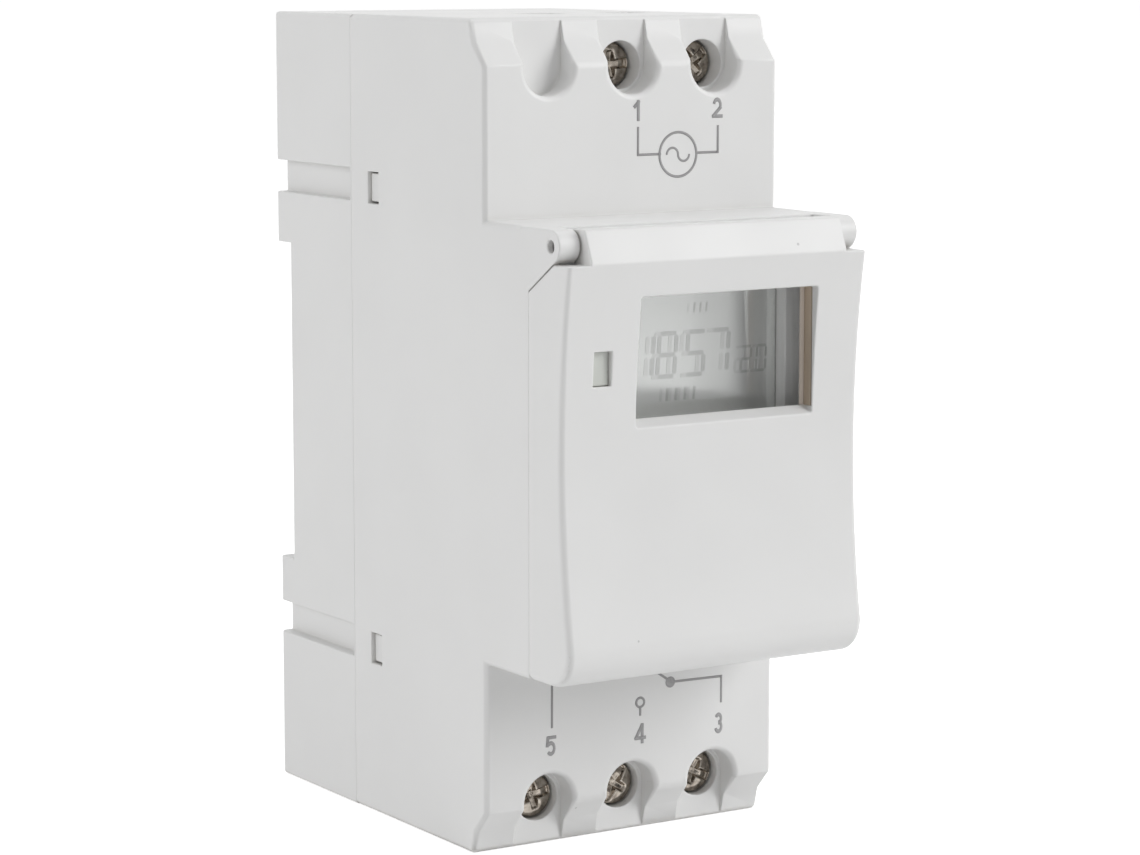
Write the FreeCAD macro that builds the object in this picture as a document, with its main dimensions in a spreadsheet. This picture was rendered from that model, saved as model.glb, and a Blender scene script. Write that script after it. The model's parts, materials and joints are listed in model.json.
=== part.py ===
"""Digital timer switch for a 35 mm mounting rail, two modules wide.

The frame: +Z up, the front faces -Y, and the origin is under the middle of the case, on the
plane of its bottom face. Sizes are in millimetres. Depths are counted forward from the rear
plane of the case, and heights up from its bottom face.
"""
import FreeCAD, Part
import math
import os
import re
import Sketcher

# Driving dimensions. Each is a name, its value and what it is.
CASE_SIZES = (
    ("width", 36.0, "case across, two modules"),
    ("height", 86.0, "case from bottom to top"),
    ("depth", 61.0, "rear plane to the lips of the flap"),
    ("wall", 1.6, "wall of the case shells"),
    ("edge_round", 0.4, "outer edges of the shells"),
    ("seam_depth", 17.4, "joint between base and front housing"),
    ("shoulder_depth", 45.0, "front face beside the terminals"),
    ("brow_depth", 42.3, "shoulder front at the top and bottom edges"),
    ("bevel_break_depth", 42.9, "shoulder bevel, its break"),
    ("bevel_break", 2.4, "break of the bevel from the end of the case"),
    ("bevel_foot", 4.7, "start of the bevel from the end of the case"),
    ("nose_rise", 0.1, "nose above the middle of the case"),
    ("nose_height", 45.4, "nose from bottom to top"),
    ("ledge_setback", 7.5, "side ledge that the flap closes on, behind the lips"),
    ("panel_setback", 6.0, "key panel behind the lips"),
    ("panel_inset", 2.1, "key panel, in from the side of the case"),
    ("panel_margin", 2.0, "key panel from the nose's lower face"),
    ("panel_drop", 3.9, "key panel, upper edge below the nose's top"),
    ("panel_wall", 1.6, "key panel, wall"),
    ("panel_side", 1.3, "key panel, its side walls"),
)
RAIL_SIZES = (
    ("rail_floor_depth", 3.3, "floor of the rail recess"),
    ("rail_drop", 0.15, "rail recess below the middle of the case"),
    ("rail_gap", 35.5, "height of the rail recess"),
    ("hook_reach", 1.2, "fixed rail hook, its overhang"),
    ("hook_depth", 2.0, "fixed rail hook, front to rear"),
    ("hook_inner", 5.0, "fixed rail hook, inner end"),
    ("hook_length", 8.0, "fixed rail hook, along the rail"),
    ("groove_height", 3.5, "side groove, its height"),
    ("groove_gap", 0.4, "side groove from the nose line"),
    ("groove_inset", 1.4, "side groove, depth into the side"),
    ("groove_length", 17.1, "side groove, from the rear plane"),
    ("floor_depth", 5.0, "inner floor of the base"),
    ("upper_floor_depth", 1.8, "inner floor of the base above the rail"),
    ("groove_block_rim", 1.3, "thick wall above and below a groove"),
    ("lip_height", 1.2, "locating lip of the base"),
    ("lip_wall", 1.2, "wall of the locating lip"),
    ("lip_play", 0.15, "locating lip from the housing's wall"),
    ("post_radius", 1.6, "board posts of the base"),
    ("post_inset", 3.4, "board posts from the side walls"),
    ("post_rise", 13.0, "board posts from the ends of the case"),
)
SNAP_SIZES = (
    ("snap_gap_low", 4.0, "lower snap window, its lower edge below the nose"),
    ("snap_gap_high", 0.3, "upper snap window above the nose"),
    ("snap_height", 3.4, "snap window, its height"),
    ("snap_depth", 21.0, "snap window, its rear edge"),
    ("snap_width", 2.3, "snap window, front to rear"),
    ("tongue_thick", 1.2, "snap tongue"),
    ("tongue_play", 0.2, "snap tongue in its window"),
    ("tongue_nib", 1.0, "nib of the snap tongue"),
)
LATCH_SIZES = (
    ("latch_half", 6.8, "rail latch, half its width"),
    ("latch_wing_half", 8.3, "rail latch wings, half their width"),
    ("latch_play", 0.2, "rail latch in its channel"),
    ("latch_neck_depth", 1.2, "narrow mouth of the latch channel"),
    ("latch_channel_depth", 2.8, "latch channel, its floor"),
    ("latch_foot", 0.6, "rail latch, its lower end"),
    ("latch_nose", 1.5, "rail latch above the lower lip"),
    ("latch_nose_depth", 1.9, "rail latch nose, front to rear"),
    ("latch_wing_foot", 3.0, "rail latch wings, lower end"),
    ("latch_wing_drop", 3.1, "rail latch wings below the rail recess"),
    ("spring_window_half", 1.5, "spring window in the latch, half its width"),
    ("spring_window_foot", 6.0, "spring window, lower end"),
    ("spring_seat", 8.5, "spring seat on the base"),
    ("spring_length", 8.0, "latch spring at rest"),
    ("spring_post", 1.5, "spring post of the base, its height"),
    ("spring_radius", 0.85, "latch spring, mean radius"),
    ("spring_wire", 0.22, "latch spring, radius of its wire"),
    ("spring_turns", 5, "latch spring, its turns"),
    ("spring_sides", 6, "latch spring, facets round its wire"),
    ("pull_slot_half", 2.5, "pull slot of the latch, half its width"),
    ("pull_slot_foot", 1.9, "pull slot of the latch, lower edge"),
    ("pull_slot_height", 1.8, "pull slot of the latch, its height"),
)
TERMINAL_SIZES = (
    ("pitch", 10.2, "terminals, one to the next"),
    ("screw_inset", 5.0, "screw axis from the end of the case"),
    ("well_radius", 2.95, "screwdriver well"),
    ("screw_hole_radius", 2.5, "hole for the screw head"),
    ("guide_depth", 36.5, "rear face of the screw guides"),
    ("guide_reach", 10.6, "screw guide block from the end of the case"),
    ("screw_face_depth", 40.7, "face of the upper screw heads"),
    ("lower_screw_proud", 1.0, "lower screw heads, further forward"),
    ("screw_head_radius", 2.3, "terminal screw head"),
    ("screw_head", 2.4, "terminal screw head, its height"),
    ("screw_radius", 1.75, "terminal screw shank"),
    ("screw_slot", 0.8, "driver slot, its width"),
    ("screw_slot_sunk", 1.1, "driver slot, its depth"),
    ("screw_cross_reach", 1.45, "cross recess, half its span"),
    ("bar_depth", 29.0, "contact bar, rear face"),
    ("bar_thick", 1.2, "contact bar"),
    ("bar_width", 4.6, "contact bar, across"),
    ("bar_inset", 2.4, "contact bar from the end of the case"),
    ("bar_leg_inset", 13.2, "solder leg of the bar from the end of the case"),
    ("cage_gap", 0.4, "cage to contact bar when open"),
    ("cage_half", 4.0, "cage, half its width"),
    ("cage_side", 1.3, "cage side walls"),
    ("cage_thread_wall", 2.0, "threaded wall of the cage"),
    ("cage_foot_wall", 1.2, "rear wall of the cage"),
    ("cage_length", 5.2, "cage along the wire"),
    ("wire_room", 4.5, "wire space of the open cage"),
    ("thread_play", 0.05, "screw in the cage"),
    ("entry_half", 2.6, "wire entry, half its width"),
    ("entry_margin", 0.1, "wire entry beyond the wire space"),
    ("rib_thick", 1.2, "wall between two terminals"),
    ("rib_depth", 22.0, "rear edge of that wall"),
    ("rib_reach", 10.9, "that wall from the end of the case"),
)
FLAP_SIZES = (
    ("flap_wall", 1.5, "front wall of the flap"),
    ("flap_side", 1.6, "side and bottom walls of the flap"),
    ("flap_gap", 0.1, "flap to the ledge"),
    ("flap_hollow", 1.6, "depth of the hollow in the flap's front"),
    ("flap_corner", 3.6, "bottom corner of the flap"),
    ("flap_edge", 0.9, "upright front edges of the flap"),
    ("flap_brow", 3.2, "upper lip from the top face"),
    ("brow_setback", 1.3, "front of the top face behind the lips"),
    ("hinge_setback", 3.4, "hinge axis behind the lips"),
    ("barrel_radius", 1.65, "hinge barrels and the roll of the flap"),
    ("groove_radius", 1.9, "hinge axis to the nose behind the roll"),
    ("swing_room", 2.8, "hinge axis to the nose's top, room for the flap's top"),
    ("ear_thick", 2.4, "hinge ears"),
    ("roll_gap", 0.2, "roll of the flap to the ears"),
    ("ear_tall", 6.3, "hinge ear on the side, its height"),
    ("notch_gap", 0.2, "flap to ear along the notch"),
    ("pin_radius", 0.65, "hinge pin"),
    ("pin_play", 0.05, "hinge pin in the roll"),
    ("pin_sunk", 0.6, "hinge pin inside the ear's face"),
    ("window_margin_left", 8.8, "flap window from the left side"),
    ("window_margin_right", 5.7, "flap window from the right side"),
    ("window_rise", 25.8, "flap window, lower edge above the nose's lower face"),
    ("window_height", 12.5, "flap window, its height"),
    ("pane_setback", 3.8, "rear face of the pane behind the lips"),
    ("pane_thick", 1.0, "window pane"),
    ("pane_lap", 0.9, "pane beyond the window"),
    ("pane_play", 0.1, "pane in its seat"),
    ("pane_frame", 0.8, "frame round the pane"),
    ("guide_margin", 3.65, "light guide from the left side"),
    ("guide_width", 2.1, "light guide, across"),
    ("guide_rise", 29.9, "light guide above the nose's lower face"),
    ("guide_height", 3.5, "light guide, its height"),
    ("guide_setback", 1.8, "light guide, front face behind the lips"),
    ("guide_rear_setback", 4.2, "light guide, rear face behind the lips"),
    ("guide_flange", 0.7, "light guide flange"),
    ("guide_flange_thick", 0.9, "light guide flange, front to rear"),
    ("guide_play", 0.05, "light guide in its window"),
)
DISPLAY_SIZES = (
    ("board_thick", 1.6, "circuit boards"),
    ("display_board_sunk", 10.2, "display board, rear face behind the panel's front"),
    ("display_board_gap", 0.5, "display board to the side walls"),
    ("display_board_margin", 0.6, "display board to the nose's inner walls"),
    ("display_post_inset", 1.5, "display board posts from the board's side"),
    ("display_post_foot", 4.0, "lower display board post above the nose's lower face"),
    ("display_post_drop", 3.8, "upper display board post below the nose's top"),
    ("display_post_radius", 1.7, "display board posts"),
    ("board_screw_radius", 0.8, "display board screws"),
    ("board_screw_head_radius", 1.6, "display board screws, head"),
    ("board_screw_head", 1.2, "display board screws, height of the head"),
    ("board_screw_length", 4.5, "display board screws, in the post"),
    ("board_hole_play", 0.3, "display board screws in the board"),
    ("lcd_rise", 31.6, "display glass, middle above the nose's lower face"),
    ("lcd_tall", 14.0, "display glass, its height"),
    ("lcd_thick", 2.5, "display glass, front to rear"),
    ("lcd_play", 0.1, "display glass to the panel and its holder"),
    ("lcd_rim_side", 1.15, "panel over the display glass at each side"),
    ("lcd_rim_end", 1.2, "panel over the display glass above and below"),
    ("holder_wall", 1.0, "display holder"),
    ("strip_thick", 1.5, "contact strips"),
    ("led_radius", 1.5, "status lamp"),
    ("led_from_guide", 1.65, "status lamp from the light guide's left edge"),
    ("led_tip_sunk", 0.4, "status lamp, its tip behind the panel's front"),
    ("led_collar", 1.0, "status lamp collar"),
    ("led_collar_half", 1.8, "status lamp collar, half its side"),
    ("led_play", 0.15, "status lamp in the panel"),
)
KEY_SIZES = (
    ("key_rise_upper", 18.1, "upper row of keys above the nose's lower face"),
    ("key_rise_lower", 9.1, "lower row of keys above the nose's lower face"),
    ("key_side_gap", 0.65, "outer key flanges to the panel's side walls"),
    ("key_pitch_lower", 9.6, "keys of the lower row, one to the next"),
    ("key_radius", 2.4, "round keys"),
    ("key_long_half", 2.0, "long key, half its straight stretch"),
    ("reset_radius", 1.3, "reset key"),
    ("key_play", 0.15, "keys in the panel"),
    ("key_proud", 1.3, "keys above the panel"),
    ("reset_sunk", 0.5, "reset key below the panel"),
    ("key_flange", 0.6, "key flange beyond the key"),
    ("key_flange_thick", 1.0, "key flange"),
    ("key_flange_gap", 0.2, "key flange to the panel"),
    ("key_crown", 0.6, "rounded edge of a key"),
    ("switch_side", 6.0, "key switch, square body"),
    ("switch_height", 3.5, "key switch, its height"),
    ("plunger_half", 1.5, "plunger of the key, half its side"),
    ("plunger_play", 0.05, "plunger in the key switch"),
    ("plunger_sunk", 1.5, "plunger inside the key switch"),
    ("plunger_bore", 2.6, "bore of the key switch, its depth"),
)
POWER_SIZES = (
    ("power_board_depth", 26.2, "power board, rear face"),
    ("power_board_gap", 0.8, "power board to the side walls"),
    ("power_board_inset", 11.2, "power board from the ends of the case"),
    ("power_rib_reach", 1.4, "board rib, reach from the side wall"),
    ("power_rib_height", 3.0, "board rib, its height"),
    ("power_rib_rise", 9.6, "lower board ribs above the nose's lower face"),
    ("power_rib_drop", 12.8, "upper board ribs below the nose's top"),
    ("relay_margin", 1.6, "relay from the board's left side"),
    ("relay_gap", 3.6, "relay from the board's lower end"),
    ("relay_width", 12.7, "relay, across"),
    ("relay_tall", 29.0, "relay, along the board"),
    ("relay_height", 15.7, "relay, off the board"),
    ("filter_left", 1.5, "filter capacitor, left face"),
    ("filter_gap", 3.8, "filter capacitor from the board's lower end"),
    ("filter_width", 10.0, "filter capacitor, across"),
    ("filter_tall", 26.0, "filter capacitor, along the board"),
    ("filter_height", 17.0, "filter capacitor, off the board"),
    ("smoothing_across", -8.0, "smoothing capacitor, across"),
    ("smoothing_drop", 28.2, "smoothing capacitor below the top of the case"),
    ("smoothing_radius", 5.0, "smoothing capacitor"),
    ("smoothing_length", 16.0, "smoothing capacitor, off the board"),
    ("ripple_across", 2.5, "ripple capacitor, across"),
    ("ripple_drop", 27.5, "ripple capacitor below the top of the case"),
    ("ripple_radius", 4.0, "ripple capacitor"),
    ("ripple_length", 11.5, "ripple capacitor, off the board"),
    ("varistor_margin", 6.6, "varistor from the board's right side"),
    ("varistor_drop", 27.5, "varistor below the top of the case"),
    ("varistor_radius", 5.0, "varistor disc"),
    ("varistor_thick", 3.6, "varistor disc, thickness"),
    ("varistor_stand", 7.5, "varistor disc, middle off the board"),
    ("lead_radius", 0.4, "component leads"),
    ("lead_half", 2.5, "varistor leads, half their distance"),
    ("rectifier_left", -12.5, "rectifier, left face"),
    ("rectifier_drop", 22.2, "rectifier, lower face below the top of the case"),
    ("rectifier_width", 8.0, "rectifier, across"),
    ("rectifier_tall", 6.4, "rectifier, along the board"),
    ("rectifier_height", 3.2, "rectifier, off the board"),
    ("resistor_middle", 3.0, "fusible resistor, middle across"),
    ("resistor_drop", 18.0, "fusible resistor below the top of the case"),
    ("resistor_radius", 2.1, "fusible resistor"),
    ("resistor_length", 9.0, "fusible resistor, its body"),
    ("resistor_stand", 2.6, "fusible resistor, axis off the board"),
    ("resistor_lead", 2.0, "fusible resistor, lead beyond its body"),
    ("chip_left", -4.5, "controller chip, left face"),
    ("chip_rise", 23.6, "controller chip above the nose's lower face"),
    ("chip_side", 12.0, "controller chip, its side"),
    ("chip_height", 1.6, "controller chip, off the board"),
    ("crystal_across", -10.0, "clock crystal, across"),
    ("crystal_rise", 26.6, "clock crystal above the nose's lower face"),
    ("crystal_radius", 1.0, "clock crystal"),
    ("crystal_length", 6.0, "clock crystal, its length"),
    ("battery_across", -4.0, "backup battery, across"),
    ("battery_rise", 14.1, "backup battery above the nose's lower face"),
    ("battery_radius", 5.75, "backup battery"),
    ("battery_thick", 5.3, "backup battery, thickness"),
    ("battery_step", 0.8, "backup battery, rim to cap"),
    ("tab_half", 1.5, "battery tab, half its width"),
    ("tab_thick", 0.3, "battery tab"),
    ("header_pitch", 2.54, "header pins, one to the next"),
    ("header_pins", 6, "header pins"),
    ("header_rise", 4.5, "header above the nose's lower face"),
    ("header_block", 2.5, "header blocks"),
    ("header_pin_half", 0.32, "header pins, half their side"),
)
TABLES = (
    CASE_SIZES, RAIL_SIZES, SNAP_SIZES, LATCH_SIZES, TERMINAL_SIZES,
    FLAP_SIZES, DISPLAY_SIZES, KEY_SIZES, POWER_SIZES,
)

# Places that follow from the driving dimensions, each by its own name.
PLACES = {
    "nose_bottom": "(height - nose_height) / 2 + nose_rise",
    "ledge_depth": "depth - ledge_setback",
    "panel_depth": "depth - panel_setback",
    "panel_half": "width / 2 - panel_inset",
    "panel_top": "nose_bottom + nose_height - panel_drop",
    "panel_cavity_half": "panel_half - panel_side",
    "rail_bottom": "(height - rail_gap) / 2 - rail_drop",
    "groove_block_half": "width / 2 - groove_inset - wall",
    "post_across": "width / 2 - wall - post_inset",
    "post_low": "post_rise",
    "post_high": "height - post_rise",
    "snap_low": "nose_bottom - snap_gap_low",
    "snap_high": "nose_bottom + nose_height + snap_gap_high",
    "latch_wing_top": "rail_bottom - latch_wing_drop",
    "hinge_depth": "depth - hinge_setback",
    "flap_brow_depth": "depth - brow_setback",
    "ear_inner": "width / 2 - ear_thick",
    "roll_half": "ear_inner - roll_gap",
    "ear_foot": "nose_bottom + nose_height - ear_tall",
    "window_left": "window_margin_left - width / 2",
    "window_right": "width / 2 - window_margin_right",
    "window_bottom": "nose_bottom + window_rise",
    "window_top": "window_bottom + window_height",
    "pane_depth": "depth - pane_setback",
    "guide_left": "guide_margin - width / 2",
    "guide_foot": "nose_bottom + guide_rise",
    "guide_face_depth": "depth - guide_setback",
    "guide_rear_depth": "depth - guide_rear_setback",
    "display_board_depth": "panel_depth - display_board_sunk",
    "display_board_half": "width / 2 - wall - display_board_gap",
    "display_post_across": "display_board_half - display_post_inset",
    "display_post_low": "nose_bottom + display_post_foot",
    "display_post_high": "nose_bottom + nose_height - display_post_drop",
    "lcd_middle": "(window_left + window_right) / 2",
    "lcd_width": "window_right - window_left",
    "lcd_height_middle": "nose_bottom + lcd_rise",
    "lcd_view_width": "lcd_width - 2 * lcd_rim_side",
    "lcd_view_tall": "lcd_tall - 2 * lcd_rim_end",
    "led_across": "guide_left + led_from_guide",
    "led_height": "guide_foot + guide_height / 2",
    "led_tip_depth": "panel_depth - led_tip_sunk",
    "key_row_upper": "nose_bottom + key_rise_upper",
    "key_row_lower": "nose_bottom + key_rise_lower",
    "key_pitch": "(panel_cavity_half - key_radius - key_flange - key_side_gap) / 1.5",
    "power_board_half": "width / 2 - wall - power_board_gap",
    "power_rib_low": "nose_bottom + power_rib_rise",
    "power_rib_high": "nose_bottom + nose_height - power_rib_drop",
    "relay_left": "relay_margin - power_board_half",
    "relay_foot": "power_board_inset + relay_gap",
    "filter_foot": "power_board_inset + filter_gap",
    "smoothing_height": "height - smoothing_drop",
    "ripple_height": "height - ripple_drop",
    "varistor_left": "power_board_half - varistor_margin",
    "varistor_height": "height - varistor_drop",
    "rectifier_foot": "height - rectifier_drop",
    "resistor_height": "height - resistor_drop",
    "chip_foot": "nose_bottom + chip_rise",
    "crystal_foot": "nose_bottom + crystal_rise",
    "battery_height": "nose_bottom + battery_rise",
    "header_height": "nose_bottom + header_rise",
}
NOSE_TOP = "(nose_bottom + nose_height)"
HINGE_HEIGHT = f"({NOSE_TOP} - barrel_radius)"
RAIL_TOP = "(rail_bottom + rail_gap)"
INNER_HALF = "(width / 2 - wall)"
PANEL_BACK = "(panel_depth - panel_wall)"
DISPLAY_FRONT = "(display_board_depth + board_thick)"
POWER_FRONT = "(power_board_depth + board_thick)"
BAR_FRONT = "(bar_depth + bar_thick)"
LCD_FRONT = f"({PANEL_BACK} - lcd_play)"
SWITCH_FRONT = f"({DISPLAY_FRONT} + switch_height)"
FLANGE_FRONT = f"({PANEL_BACK} - key_flange_gap)"
OVERCUT = "1"

document = FreeCAD.newDocument("timer_switch")
sheet = document.addObject("Spreadsheet::Sheet", "Sizes")


def fill_sheet():
    """Write every driving dimension to the sheet, with its name as the alias."""
    row = 1
    for table in TABLES:
        for name, size, meaning in table:
            sheet.set(f"A{row}", meaning)
            sheet.set(f"B{row}", str(size))
            sheet.setAlias(f"B{row}", name)
            row += 1
    document.recompute()


SIZE_NAMES = {name for table in TABLES for name, size, meaning in table}


def bound(text):
    """The expression that reads text's sizes from the sheet, its places written out."""
    def spell(word):
        name = word.group()
        if name in PLACES:
            return f"({bound(PLACES[name])})"
        return f"Sizes.{name}" if name in SIZE_NAMES else name

    return re.sub(r"[a-z][a-z_]+", spell, text)


def value(text):
    """The number that an expression gives now."""
    return float(sheet.evalExpression(bound(text)))


def new_body(label):
    body = document.addObject("PartDesign::Body", label)
    body.Label = label
    return body


def origin_plane(body, role):
    return next(item for item in body.Origin.OriginFeatures if item.Role == role)


def new_sketch(body, name, role):
    sketch = body.newObject("Sketcher::SketchObject", f"{body.Name}_{name}")
    sketch.AttachmentSupport = (origin_plane(body, role), [""])
    sketch.MapMode = "FlatFace"
    return sketch


def side_sketch(body, name, across="0"):
    """A sketch from the side: x runs forward from the rear plane, y runs up."""
    sketch = new_sketch(body, name, "YZ_Plane")
    turn = FreeCAD.Rotation(FreeCAD.Vector(0, 1, 0), 180)
    sketch.AttachmentOffset = FreeCAD.Placement(FreeCAD.Vector(), turn)
    sketch.setExpression("AttachmentOffset.Base.x", bound("depth / 2"))
    sketch.setExpression("AttachmentOffset.Base.z", bound(across))
    return sketch


def front_sketch(body, name, forward):
    """A sketch from the front: x runs to the right, y runs up; its normal points forward."""
    sketch = new_sketch(body, name, "XZ_Plane")
    sketch.setExpression("AttachmentOffset.Base.z", bound(f"{forward} - depth / 2"))
    return sketch


def plan_sketch(body, name, up):
    """A sketch from below: x runs to the right, y runs forward; its normal points down."""
    sketch = new_sketch(body, name, "XY_Plane")
    turn = FreeCAD.Rotation(FreeCAD.Vector(1, 0, 0), 180)
    sketch.AttachmentOffset = FreeCAD.Placement(FreeCAD.Vector(), turn)
    sketch.setExpression("AttachmentOffset.Base.y", bound("depth / 2"))
    sketch.setExpression("AttachmentOffset.Base.z", bound(up))
    return sketch


def tie(sketch, kind, geometry, position, text):
    """Hold one coordinate of a point of the sketch at an expression."""
    place = Sketcher.Constraint(kind, -1, 1, geometry, position, value(text))
    index = sketch.addConstraint(place)
    sketch.setExpression(f"Constraints[{index}]", bound(text))


def tie_point(sketch, geometry, position, x_text, y_text):
    tie(sketch, "DistanceX", geometry, position, x_text)
    tie(sketch, "DistanceY", geometry, position, y_text)


def tie_radius(sketch, geometry, text):
    index = sketch.addConstraint(Sketcher.Constraint("Radius", geometry, value(text)))
    sketch.setExpression(f"Constraints[{index}]", bound(text))


def outline(sketch, corners):
    """A closed outline. A corner is (x, y), or (x, y, radius) where it is rounded."""
    points = [FreeCAD.Vector(value(corner[0]), value(corner[1]), 0) for corner in corners]
    count = len(corners)

    def edge_end(index, other):
        if len(corners[index]) == 2:
            return points[index]
        before = points[index - 1] - points[index]
        after = points[(index + 1) % count] - points[index]
        reach = value(corners[index][2]) / math.tan(before.getAngle(after) / 2)
        return points[index] + (points[other] - points[index]).normalize() * reach

    lines = []
    for index in range(count):
        follow = (index + 1) % count
        line = Part.LineSegment(edge_end(index, follow), edge_end(follow, index))
        lines.append(sketch.addGeometry(line))
    for index, corner in enumerate(corners):
        before, after = lines[index - 1], lines[index]
        if len(corner) == 2:
            sketch.addConstraint(Sketcher.Constraint("Coincident", before, 2, after, 1))
            tie_point(sketch, after, 1, corner[0], corner[1])
        else:
            round_corner(sketch, before, after, points[index], corner)


def round_corner(sketch, before, after, point, corner):
    """Join two lines of an outline with a tangent arc, held at their corner."""
    start = sketch.getPoint(before, 2)
    end = sketch.getPoint(after, 1)
    middle_way = (start + end) * 0.5 - point
    radius = value(corner[2])
    reach = math.hypot((start - point).Length, radius)
    centre = point + middle_way.normalize() * reach
    first = math.atan2(start.y - centre.y, start.x - centre.x)
    last = math.atan2(end.y - centre.y, end.x - centre.x)
    turns_left = math.sin(last - first) > 0
    if not turns_left:
        first, last = last, first
    circle = Part.Circle(centre, FreeCAD.Vector(0, 0, 1), radius)
    arc = sketch.addGeometry(Part.ArcOfCircle(circle, first, last))
    start_of_arc, end_of_arc = (1, 2) if turns_left else (2, 1)
    sketch.addConstraint(Sketcher.Constraint("Tangent", before, 2, arc, start_of_arc))
    sketch.addConstraint(Sketcher.Constraint("Tangent", after, 1, arc, end_of_arc))
    tie_radius(sketch, arc, corner[2])
    corner_point = sketch.addGeometry(Part.Point(point), True)
    sketch.addConstraint(Sketcher.Constraint("PointOnObject", corner_point, 1, before))
    sketch.addConstraint(Sketcher.Constraint("PointOnObject", corner_point, 1, after))
    tie_point(sketch, corner_point, 1, corner[0], corner[1])


def rectangle(sketch, left, bottom, right, top, radius=None):
    rounding = () if radius is None else (radius,)
    outline(sketch, [
        (left, bottom, *rounding),
        (right, bottom, *rounding),
        (right, top, *rounding),
        (left, top, *rounding),
    ])


def circle(sketch, x_text, y_text, radius):
    centre = FreeCAD.Vector(value(x_text), value(y_text), 0)
    normal = FreeCAD.Vector(0, 0, 1)
    ring = sketch.addGeometry(Part.Circle(centre, normal, value(radius)))
    tie_point(sketch, ring, 3, x_text, y_text)
    tie_radius(sketch, ring, radius)


def feature(body, kind, sketch, length, symmetric=False, backwards=False):
    step = body.newObject(f"PartDesign::{kind}", f"{sketch.Name}_{kind}")
    step.Profile = sketch
    step.setExpression("Length", bound(length))
    step.SideType = "Symmetric" if symmetric else "One side"
    step.Reversed = backwards
    sketch.Visibility = False
    return step


def pad(body, sketch, length, symmetric=False, backwards=False):
    return feature(body, "Pad", sketch, length, symmetric, backwards)


def pocket(body, sketch, length, symmetric=False, backwards=False):
    return feature(body, "Pocket", sketch, length, symmetric, backwards)


def bevel_edges(body, size, chosen):
    """Chamfer the edges of the body that the test picks."""
    document.recompute()
    names = [
        f"Edge{number}"
        for number, edge in enumerate(body.Shape.Edges, 1)
        if chosen(edge)
    ]
    if not names:
        raise RuntimeError(f"{body.Label}: no edge to chamfer")
    base = body.Tip
    step = body.newObject("PartDesign::Chamfer", f"{body.Name}_Chamfer_{len(body.Group)}")
    step.Base = (base, names)
    step.setExpression("Size", bound(size))
    body.Tip = step
    return step


def close(one, other):
    return abs(one - other) < 0.01


def on_side_face(edge):
    """Whether an edge lies in one of the two outer side faces of the case."""
    box = edge.BoundBox
    half = value("width / 2")
    return close(box.XMin, box.XMax) and close(abs(box.XMin), half)


def depth_of(point):
    """How far forward of the rear plane a point lies."""
    return value("depth") / 2 - point.y


def lies_at_depth(edge, text):
    """Whether an edge lies in the plane at this depth."""
    depth = value(text)
    return all(close(depth_of(vertex.Point), depth) for vertex in edge.Vertexes)


def from_top(text):
    return f"(height - {text})"


def at_end(top, text):
    """A height counted from the top end or from the bottom end of the case."""
    return from_top(text) if top else text


# The two rows of terminals: the number printed by each, its row and its place along the row.
TERMINALS = (
    (1, True, "0"),
    (2, True, "pitch"),
    (3, False, "pitch"),
    (4, False, "0"),
    (5, False, "-pitch"),
)
WELL_PLACES = ("-pitch", "0", "pitch")


# The two screw posts of the display board: name, place across and height.
BOARD_POSTS = (
    ("low", "-display_post_across", "display_post_low"),
    ("high", "display_post_across", "display_post_high"),
)


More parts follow.
